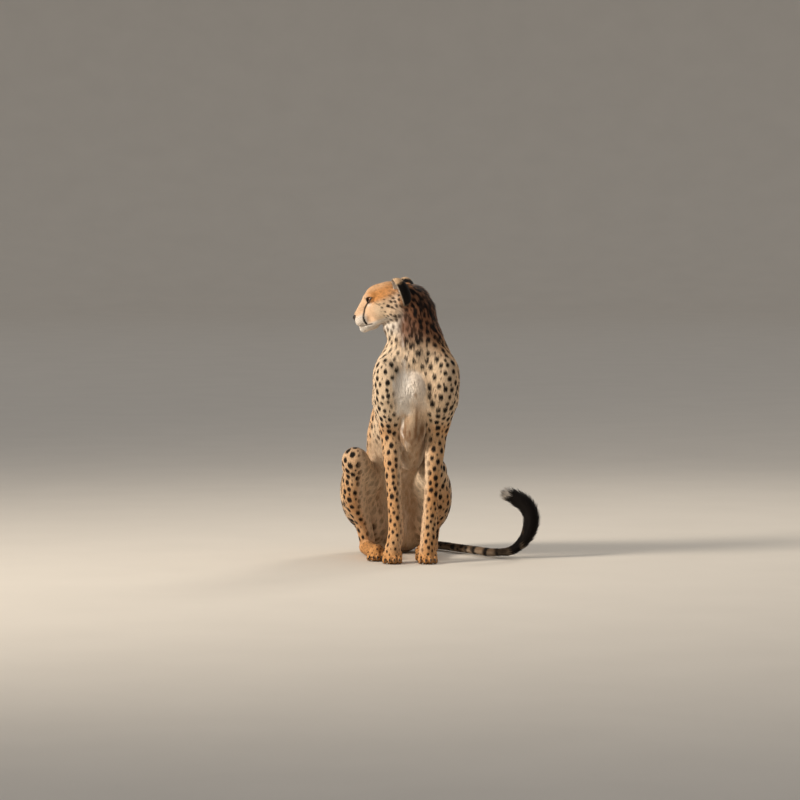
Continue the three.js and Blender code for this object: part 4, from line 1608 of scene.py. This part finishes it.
# %% What the coat is like in each place
def coat_style(p, belongs):
    """Length, lean in degrees, width and tufts per square millimetre at each point."""
    parts = dict(zip(PART_NAMES, belongs.T))
    breast, z = breastward(p), p[:, 2]
    f, _, u = head.local(p).T
    front = smooth(breast, 0.5, 0.9)
    mane = smooth(-breast, 0.35, 0.8) * smooth(z, 560, 660)
    length = 12 + 9 * front * smooth(z, 400, 500) * smooth(-z, -760, -640) + 14 * mane
    lean = 15 + 6 * front + 9 * mane
    width = 2.7 + 0.5 * front
    beard = np.exp(-(((f - 66) / 16) ** 2)) * smooth(-u, 46, 58)
    head_length = 9 * beard + 4.2 + 2.2 * smooth(-f, -70, 0) + 6 * smooth(-f, -10, 60)
    head_length = head_length + 5 * smooth(-u, 20, 50) * smooth(-f, -60, 0)
    head_lean = 13 + 6 * smooth(-f, -40, 40) + 26 * beard
    head_width = 1.5 + 0.9 * smooth(-f, -60, 30)
    head_density = 0.75 - 0.4 * smooth(-f, -40, 30)
    brush = smooth(along_tail(p), 0.6, 0.9)
    thigh_length = 8 + 4 * smooth(p[:, 1], 150, 220) + 4 * smooth(p[:, 1], 300, 420)
    styles = {
        "trunk": (length, lean, width, 0.21),
        "head": (head_length, head_lean, head_width, head_density),
        "tail": (12 + 20 * brush, 14 + 22 * brush, 2.6, 0.3),
        "foreleg": (9, 13, 2.3, 0.26),
        "forepaw": (5.5, 13, 1.7, 0.5),
        "thigh": (thigh_length, 14, 2.6, 0.23),
        "shank": (9, 14, 2.3, 0.26),
        "foot": (5.5, 13, 1.7, 0.5),
    }
    shares = {part: share_of(part, parts) for part in styles}
    return [sum(shares[part] * style[i] for part, style in styles.items()) for i in range(4)]


body.length, body.lean, body.width, body.density = coat_style(body.points, body.belongs)
in_eyes = np.zeros(len(body.points), bool)
for s in (-1, 1):
    out, ball, slit, _ = eye_opening(head.local(body.points), s)
    in_eyes |= (slit < 2.2) & (out > 0) & (ball < 26)
under_foot = smooth(body.points[:, 2], 0.5, 3)
body.density = body.density * ~in_eyes * under_foot
print("tufts expected", round((body.areas * body.density[body.corners].mean(axis=1)).sum()))

# %% Spikes as one mesh
PATCH = 0.0015  # half the size of a tuft's patch in the flat layout
# ROOT_SHADE is painted shade deep in the coat, at each tuft's root; TIP_LIGHT is the hair's own
# lighter tip.
ROOT_SHADE, TIP_LIGHT = 0.76, 1.08  # a tuft is darker at its root and lighter at its tip

# The two kinds of spike: their triangles, each point's place in the patch of the layout, and how
# much of the tip's colour it has.
STRAIGHT = {
    "triangles": [(0, 2, 1), (0, 1, 3), (1, 2, 3), (2, 0, 3)],
    "patch": [(1, 0), (-0.5, 0.87), (-0.5, -0.87), (0, 0)],
    "tipward": [0, 0, 0.15, 1],
}
BENT = {
    "triangles": [
        *[(0, 2, 1), (0, 1, 4), (0, 4, 3), (1, 2, 5), (1, 5, 4), (2, 0, 3), (2, 3, 5)],
        *[(3, 4, 6), (4, 5, 6), (5, 3, 6)],
    ],
    "patch": [(1, 0), (-0.5, 0.87), (-0.5, -0.87), (0.4, 0), (-0.2, 0.35), (-0.2, -0.35), (0, 0)],
    "tipward": [0, 0, 0.1, 0.55, 0.55, 0.6, 1],
}
ROOT_DEPTH = 0.7  # how deep a root is sunk
FLOOR_GAP = 0.3  # no hair goes lower than this over the floor


def spike_points(roots, normals, ways, lengths, leans, widths, kind):
    """The points of each spike: a triangle at the root, another half way if it is bent, and a tip."""
    side = np.cross(normals, ways)
    lean, tip_lean = np.radians(leans)[:, None], np.radians(leans * 0.55)[:, None]
    foot = roots - normals * ROOT_DEPTH
    half = widths[:, None] / 2
    heel = foot + normals * half * 1.1 - ways * half * 0.6
    ring = np.stack([foot + side * half, foot - side * half, heel], 1)
    first = ways * np.cos(lean) + normals * np.sin(lean)
    second = ways * np.cos(tip_lean) + normals * np.sin(tip_lean)
    middle = foot + first * lengths[:, None] * 0.5
    if kind is BENT:
        waist = middle[:, None] + (ring - foot[:, None]) * 0.72
        tip = middle + second * lengths[:, None] * 0.5
        layers = [ring, waist, tip[:, None]]
    else:
        tip = middle + (first + second) / 2 * lengths[:, None] * 0.5
        layers = [ring, tip[:, None]]
    points = np.concatenate(layers, axis=1)
    points[..., 2] = np.maximum(points[..., 2], FLOOR_GAP)
    return points


def spike_mesh(name, points, flat, kind):
    """Spikes as one mesh, each with its own small patch of the flat layout."""
    count, each = points.shape[:2]
    triangles = np.array(kind["triangles"])[:, ::-1]
    corners = (np.arange(count)[:, None, None] * each + triangles[None]).reshape(-1, 3)
    mesh = bpy.data.meshes.new(name)
    mesh.vertices.add(count * each)
    mesh.vertices.foreach_set("co", to_model(points.reshape(-1, 3)).astype(np.float32).ravel())
    mesh.loops.add(corners.size)
    mesh.loops.foreach_set("vertex_index", corners.astype(np.int32).ravel())
    mesh.polygons.add(len(corners))
    mesh.polygons.foreach_set("loop_start", np.arange(0, corners.size, 3, dtype=np.int32))
    mesh.update(calc_edges=True)
    patch = np.array(kind["patch"]) * PATCH
    layout = (flat[:, None] + patch[None]).reshape(-1, 2)[corners.ravel()]
    mesh.uv_layers.new(name=MAP).data.foreach_set("uv", layout.astype(np.float32).ravel())
    return mesh


def shade_softly(mesh, points, roots, normals, ways):
    """Turns the shading of every spike mostly the skin's way, so that the coat looks soft."""
    away = points - roots[:, None]
    across = away - (away * ways[:, None]).sum(2)[..., None] * ways[:, None]
    shade = unit(normals[:, None] * 0.8 + 0.35 * unit(across))
    mesh.shade_smooth()
    mesh.normals_split_custom_set_from_vertices(shade.reshape(-1, 3).astype(np.float32))


# %% Growing one piece of the coat
def grow(ground, name, slot, wanted, kind, colour_of, reach=(0.2, 0.75)):
    """Grows tufts where a ground's points are wanted. Reach: where along it a tuft reads colours."""
    triangle, shares = ground.roots(ground.density * wanted)

    def read(values):
        return ground.read(values, triangle, shares)

    roots, normals = read(ground.points), unit(read(ground.normals))
    count = len(roots)
    ways = unit(read(ground.flow)) + chance.normal(0, 0.06, (count, 3))
    ways = pressed(ways, normals)
    lengths = read(ground.length) * chance.uniform(0.75, 1.2, count)
    leans = read(ground.lean) * chance.uniform(0.6, 1.4, count)
    widths = read(ground.width) * chance.uniform(0.8, 1.2, count)
    belongs, shade = read(ground.belongs), chance.uniform(0.88, 1.12, (count, 1))
    near_root, near_tip = (
        colour_of(roots + ways * lengths[:, None] * share, normals, belongs) * shade for share in reach
    )
    points = spike_points(roots, normals, ways, lengths, leans, widths, kind)
    flat = (ground.flat[triangle] * shares[..., None]).sum(axis=1)
    mesh = spike_mesh(name, points, flat, kind)
    tipward = np.array(kind["tipward"])[:, None]
    # Painted shade at the roots, by ROOT_SHADE, and the hair's own lighter tips.
    colours = near_root[:, None] * ROOT_SHADE * (1 - tipward) + near_tip[:, None] * TIP_LIGHT * tipward
    set_colours(mesh, colours.reshape(-1, 3))
    shade_softly(mesh, points, roots, normals, ways)
    show(name, mesh, slot)
    print(name, count, "tufts", len(mesh.polygons), "triangles")


# %% Grow the coat, region by region
LONG = 17  # hair longer than this is made of bent spikes, in millimetres
home = np.array(PART_NAMES)[body.belongs.argmax(axis=1)]
breast_here = breastward(body.points)
z_here = body.points[:, 2]
is_trunk = home == "trunk"
long_hair = body.length > LONG
on_left = body.points[:, 0] > np.interp(z_here, heights, STATIONS[:, 0])
is_head, is_tail = home == "head", home == "tail"
is_face = head.local(body.points)[:, 0] > 20
regions = {
    "coat_face": (is_head & is_face, "face_coat", STRAIGHT),
    "coat_skull": (is_head & ~is_face, "face_coat", STRAIGHT),
    "coat_mane": (is_trunk & long_hair & (breast_here < 0), "spotted_coat", BENT),
    "coat_breast": (is_trunk & long_hair & (breast_here >= 0), "pale_spotted_coat", BENT),
    "coat_side_left": (is_trunk & ~long_hair & on_left, "spotted_coat", STRAIGHT),
    "coat_side_right": (is_trunk & ~long_hair & ~on_left, "spotted_coat", STRAIGHT),
    "coat_tail": (is_tail & ~long_hair, "ringed_tail_coat", STRAIGHT),
    "coat_tail_end": (is_tail & long_hair, "ringed_tail_coat", BENT),
}
for name in SIDES:
    fore = (home == f"foreleg_{name}") | (home == f"forepaw_{name}")
    hind = (home == f"shank_{name}") | (home == f"foot_{name}")
    regions[f"coat_foreleg_{name}"] = (fore, "spotted_coat", STRAIGHT)
    regions[f"coat_thigh_{name}"] = (home == f"thigh_{name}", "spotted_coat", STRAIGHT)
    regions[f"coat_hind_leg_{name}"] = (hind, "foot_coat", STRAIGHT)
for name, (wanted, slot, kind) in regions.items():
    # The tail's brush stands out past the tail's end, so it reads its colour close to the roots.
    reach = (0.1, 0.1) if name == "coat_tail_end" else (0.2, 0.75)
    grow(body, name, slot, wanted, kind, paint, reach)

# %% [markdown]
# ## Ears: their coat
#
# The back of the ear is black under a sandy tip and a cream rim, and long pale hairs cross its
# opening. The same tufts grow here, on the shells, with a few facts of their own kept on every
# point: how far inside it is, how near the rim, and how high.


# %% Hair on the ears
# EAR_SHADE is painted shade: the shell is drawn darker than the hair over it, as the depth between
# hairs looks.
EAR_SHADE = 0.7  # the shell is darker than the hair over it


def ear_colours(p, normals, facts):
    """The colour of the ear's coat at each point. It takes normals only to be like paint."""
    inside, rim, height = facts.T
    tip = smooth(height + 3 * noise(p, 6, 13), 31, 38)
    foot = smooth(-height, 36, 45)
    colour = np.tile(BLACK * 0.7, (len(p), 1))
    colour = blend(colour, SAND, 0.9 * tip)
    colour = blend(colour, CREAM, np.clip(0.95 * rim + 0.8 * foot, 0, 1))
    return blend(colour, WHITE, inside)


for name, s in SIDES.items():
    ground = Ground(ears[name])
    q = ear_place(ground.points, s)
    inside = smooth(-np.linalg.norm(q / EAR_RADII, axis=1), -0.985, -0.955)
    up_ear = np.array([-0.25, 0, 1]) @ ear_turn(s).T @ head.axes
    spread = ground.points - head.at(*ear_middle(s))
    ground.flow = pressed(np.tile(up_ear, (len(q), 1)) * 0.8 + unit(spread) * 0.4, ground.normals)
    rim = smooth(q[:, 0], 5, 11)
    ground.length = 5 + 6 * inside + 1.5 * rim
    ground.lean = 14 + 8 * inside + 4 * rim
    ground.width = np.full(len(q), 1.8)
    ground.density = 0.5 - 0.15 * inside
    ground.belongs = np.stack([inside, rim, q[:, 2]], axis=1)
    colours = ear_colours(ground.points, ground.normals, ground.belongs)
    # The shell's colours are darkened by EAR_SHADE, as painted shade under the coat.
    set_colours(ground.mesh, colours * EAR_SHADE)
    grow(ground, f"coat_ear_{name}", "dark_ear_coat", np.ones(len(q)), STRAIGHT, ear_colours)

# %% [markdown]
# ## Whiskers
#
# Whiskers are single stiff hairs that taper to nothing and bend back. Hair curves would do in a
# picture, but a shelf part needs a mesh, so they are thin solid horns made the way the claws are.

# %% Whiskers
ROWS, COLUMNS = 4, 3
RINGS, WHISKER_SIDES = 9, 5
THICK, THIN = 0.32, 0.06  # radii at the root and the tip
BEND = np.array([-0.55, 0, -0.35]) * 0.45  # back and down

whiskers = []
for s in (-1, 1):
    for row in range(ROWS):
        for column in range(COLUMNS):
            root = (96 - column * 7 - row * 1.5, s * (15 + column * 6.0), -10 - row * 6.0)
            length = 34 + 9 * column + chance.uniform(-4, 4)
            way = unit(np.array([0.35 - 0.3 * column, s * 1.0, -0.25 - 0.16 * row]))
            t = np.linspace(0, 1, RINGS)[:, None]
            line = head.at(*root) + ((way * t + BEND * t**2) * length) @ head.axes
            whiskers.append(swept(line, np.linspace(THICK, THIN, RINGS), sides=WHISKER_SIDES))
show("whiskers", joined("whiskers", whiskers), "claw_horn")
print("whiskers", len(whiskers))

# %% [markdown]
# ## Materials
#
# Hair is neither shiny nor quite dull. Its colour is the one kept on the mesh, with a little noise
# over it, and a soft sheen gives the pale edge that light makes in fur. The skin is the same, with
# small bumps. Pictures could give more detail, but a procedural finish needs none, and has no seams.


# %% Helpers for materials
def material(name, roughness, specular=0.5, sheen=0.0, coat=0.0):
    """A new material, with its nodes, its links and its shader."""
    made = bpy.data.materials.new(name)
    made.use_nodes = True
    nodes, links = made.node_tree.nodes, made.node_tree.links
    shader = nodes["Principled BSDF"]
    shader.inputs["Roughness"].default_value = roughness
    shader.inputs["Specular IOR Level"].default_value = specular
    shader.inputs["Sheen Weight"].default_value = sheen
    shader.inputs["Sheen Roughness"].default_value = 0.45
    shader.inputs["Coat Weight"].default_value = coat
    shader.inputs["Coat Roughness"].default_value = 0.04
    return made, nodes, links, shader


def noise_node(nodes, links, scale, detail=3.0):
    """A noise that stays with the piece."""
    texture = nodes.new("ShaderNodeTexNoise")
    texture.inputs["Scale"].default_value = scale
    texture.inputs["Detail"].default_value = detail
    place = nodes.new("ShaderNodeTexCoord")
    links.new(place.outputs["Object"], texture.inputs["Vector"])
    return texture


def varied(nodes, links, source, texture, low, high):
    """Multiplies a colour by a noise mapped between two brightnesses."""
    span = nodes.new("ShaderNodeMapRange")
    span.inputs["From Min"].default_value = 0.3
    span.inputs["From Max"].default_value = 0.7
    span.inputs["To Min"].default_value = low
    span.inputs["To Max"].default_value = high
    links.new(texture.outputs["Fac"], span.inputs["Value"])
    mixer = nodes.new("ShaderNodeVectorMath")
    mixer.operation = "SCALE"
    links.new(source, mixer.inputs[0])
    links.new(span.outputs["Result"], mixer.inputs["Scale"])
    return mixer.outputs[0]


def bumped(nodes, links, shader, height, strength, distance):
    """Small bumps, from a texture's height."""
    bump = nodes.new("ShaderNodeBump")
    bump.inputs["Strength"].default_value = strength
    bump.inputs["Distance"].default_value = distance
    links.new(height, bump.inputs["Height"])
    links.new(bump.outputs["Normal"], shader.inputs["Normal"])


# %% Hair and hide
def coat_material(name, skin_like):
    """The colours kept on the mesh, with or without the bumps of skin."""
    made, nodes, links, shader = material(name, 0.78, specular=0.2, sheen=0.07)
    stored = nodes.new("ShaderNodeAttribute")
    stored.attribute_name = "coat"
    texture = noise_node(nodes, links, 420.0, 2.0)
    colour = varied(nodes, links, stored.outputs["Color"], texture, 0.86, 1.12)
    links.new(colour, shader.inputs["Base Color"])
    if skin_like:
        pores = noise_node(nodes, links, 900.0, 4.0)
        bumped(nodes, links, shader, pores.outputs["Fac"], 0.5, 0.001)
    return made


hair = coat_material("hair", False)
hide = coat_material("hide", True)
print("coat's materials", hair.name, hide.name)

# %% [markdown]
# ## Iris and pupil
#
# The eye is amber, with a round pupil, a dark edge and fine streaks between them. The numbers kept
# on the eyeball say how far each point is from the pupil, so a colour ramp paints the rings, and a
# noise stretched along the spokes paints the streaks. A clear coat stands for the wet cornea.

# %% Iris
# Where each colour of the ramp is, from the middle of the pupil to the edge of the iris.
IRIS_COLOURS = [
    (0.0, 0x050404),
    (0.42, 0x050404),
    (0.47, 0x3A1E0A),
    (0.66, 0x804A16),
    (0.84, 0x54300F),
    (0.95, 0x160C06),
    (1.0, 0x0A0605),
]

iris, nodes, links, shader = material("iris", 0.5, specular=0.05, coat=0.8)
ring = nodes.new("ShaderNodeAttribute")
ring.attribute_name = "from_pupil"
spoke = nodes.new("ShaderNodeAttribute")
spoke.attribute_name = "round_pupil"
streaks = nodes.new("ShaderNodeTexNoise")
streaks.inputs["Scale"].default_value = 9.0
streaks.inputs["Detail"].default_value = 5.0
links.new(spoke.outputs["Vector"], streaks.inputs["Vector"])
ramp = nodes.new("ShaderNodeValToRGB")
while len(ramp.color_ramp.elements) < len(IRIS_COLOURS):
    ramp.color_ramp.elements.new(0.5)
for element, (at, code) in zip(ramp.color_ramp.elements, IRIS_COLOURS):
    element.position = at
    element.color = (*hue(code), 1)
links.new(ring.outputs["Fac"], ramp.inputs["Fac"])
colour = varied(nodes, links, ramp.outputs["Color"], streaks, 0.65, 1.3)
links.new(colour, shader.inputs["Base Color"])
print("iris", len(IRIS_COLOURS), "colours")

# %% [markdown]
# ## Leather, horn and bristle
#
# The leather of the nose is dark and pebbled, the claws are dark horn, and the whiskers are pale
# bristle. Each has one colour, made a little uneven by noise. The pebbles are the cells of a
# Voronoi texture, raised as bumps, because modelling them would take many faces for a small thing.


# %% Nose, claws and whiskers
def uneven_colour(nodes, links, shader, code, scale, low, high):
    """One colour, between two brightnesses of a noise."""
    base = nodes.new("ShaderNodeRGB")
    base.outputs[0].default_value = (*hue(code), 1)
    texture = noise_node(nodes, links, scale)
    colour = varied(nodes, links, base.outputs[0], texture, low, high)
    links.new(colour, shader.inputs["Base Color"])


leather, nodes, links, shader = material("leather", 0.42, specular=0.5)
uneven_colour(nodes, links, shader, 0x231A17, 160.0, 0.7, 1.35)
grain = nodes.new("ShaderNodeTexVoronoi")
grain.inputs["Scale"].default_value = 1100.0
coordinates = nodes.new("ShaderNodeTexCoord")
links.new(coordinates.outputs["Object"], grain.inputs["Vector"])
bumped(nodes, links, shader, grain.outputs["Distance"], 0.5, 0.0004)

horn, nodes, links, shader = material("horn", 0.34, specular=0.5)
uneven_colour(nodes, links, shader, 0x2E2620, 240.0, 0.7, 1.5)

bristle, nodes, links, shader = material("bristle", 0.4, specular=0.4)
uneven_colour(nodes, links, shader, 0xE9E2D4, 120.0, 0.85, 1.05)

# %% Every piece gets its material
# The start of a piece's name says what it is made of.
MADE_OF = {
    "coat": hair,
    "skin": hide,
    "ear": hide,
    "eye": iris,
    "leather": leather,
    "claws": horn,
    "whiskers": bristle,
}
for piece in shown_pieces():
    for start, made in MADE_OF.items():
        if piece.name.startswith(start) and piece.type == "MESH" and not piece.data.materials:
            piece.data.materials.append(made)

# %% [markdown]
# ## Floor, light and camera
#
# In a studio a model stands on paper that sweeps up behind it, so that no edge crosses the picture.
# Here the floor bends up all round, like a wide bowl, and looks the same from every side.

# %% Floor
FLAT, BEND_RADIUS, TOP = 24.0, 7.0, 16.0  # in metres
BOWL_SIDES, BEND_RINGS = 96, 17


def bowl():
    """A flat round floor that bends up into a wall: rings of points, and the quads between them."""
    turn = np.linspace(0, math.pi / 2, BEND_RINGS)
    out = [FLAT / 2, *(FLAT + BEND_RADIUS * np.sin(turn)), FLAT + BEND_RADIUS]
    up = [0.0, *(BEND_RADIUS * (1 - np.cos(turn))), TOP]
    around = np.linspace(0, 2 * math.pi, BOWL_SIDES, endpoint=False)
    rings = [(r * math.cos(a), r * math.sin(a), z) for r, z in zip(out, up) for a in around]
    faces = [tuple(range(BOWL_SIDES))]
    for i in range(len(out) - 1):
        for j in range(BOWL_SIDES):
            k, here, above = (j + 1) % BOWL_SIDES, i * BOWL_SIDES, (i + 1) * BOWL_SIDES
            faces.append((here + j, above + j, above + k, here + k))
    return rings, faces


floor_mesh = bpy.data.meshes.new("floor")
rings, faces = bowl()
floor_mesh.from_pydata(rings, [], faces)
floor_mesh.shade_smooth()
floor = bpy.data.objects.new("floor", floor_mesh)
bpy.context.scene.collection.objects.link(floor)
plaster, nodes, links, shader = material("plaster", 0.85, specular=0.1)
uneven_colour(nodes, links, shader, 0xD8D0C4, 3.0, 0.985, 1.015)
floor_mesh.materials.append(plaster)
print("floor", FLAT * 2, "metres across, before it bends")

# %% [markdown]
# Fur reads by the light across it. A strong warm lamp stands for a low sun at the animal's right, a
# weak cool one lifts the shadows, and one from behind draws a pale edge round the back. Their beams
# are narrow, so that they light the animal more than the floor near the lamps.
#
# The coat's colours are meant to be seen as they were chosen, and the Standard view shows them so.
# A view made for film would soften the bright parts and turn tan to grey.

# %% Light
AIM = Vector((0, 0, 0.4))  # every lamp points at the middle of the body
BEAM = 70  # the spread of each lamp, in degrees

world = bpy.data.worlds.new("studio")
world.use_nodes = True
world.node_tree.nodes["Background"].inputs["Color"].default_value = (0.86, 0.87, 0.90, 1)
world.node_tree.nodes["Background"].inputs["Strength"].default_value = 0.5
bpy.context.scene.view_settings.view_transform = "Standard"
bpy.context.scene.world = world


def lamp(name, place, size, power, colour):
    """A square lamp of so many metres and watts."""
    light = bpy.data.lights.new(name, "AREA")
    light.energy, light.size, light.color = power, size, colour
    light.spread = math.radians(BEAM)
    holder = bpy.data.objects.new(name, light)
    holder.location = place
    holder.rotation_euler = (AIM - Vector(place)).to_track_quat("-Z", "Y").to_euler()
    bpy.context.scene.collection.objects.link(holder)
    print("lamp", name, power, "watts")


lamp("key", (-6.4, -3.6, 4.0), 2.2, 112, (1.0, 0.91, 0.79))
lamp("fill", (2.6, -2.8, 1.4), 2.2, 0.6, (0.95, 0.96, 1.0))
lamp("rim", (3.2, 4.4, 4.4), 2.0, 18, (1.0, 0.93, 0.82))

# %% [markdown]
# A portrait of an animal is taken from far away through a long lens, which keeps near and far legs
# in proportion.

# %% Camera
CAMERA = {"place": (-37, -12000, 1160), "down": 3.105, "lens": 174.2}
CLIP_END = 100  # beyond the far wall of the bowl, in metres
eye_lens = bpy.data.cameras.new("camera")
eye_lens.lens = CAMERA["lens"]
eye_lens.clip_end = CLIP_END
camera = bpy.data.objects.new("camera", eye_lens)
camera.location = to_model(CAMERA["place"])
camera.rotation_euler = (math.radians(90 - CAMERA["down"]), 0, 0)
bpy.context.scene.collection.objects.link(camera)
bpy.context.scene.camera = camera
print("camera", round(-camera.location.y, 2), "metres off, lens", CAMERA["lens"], "mm")
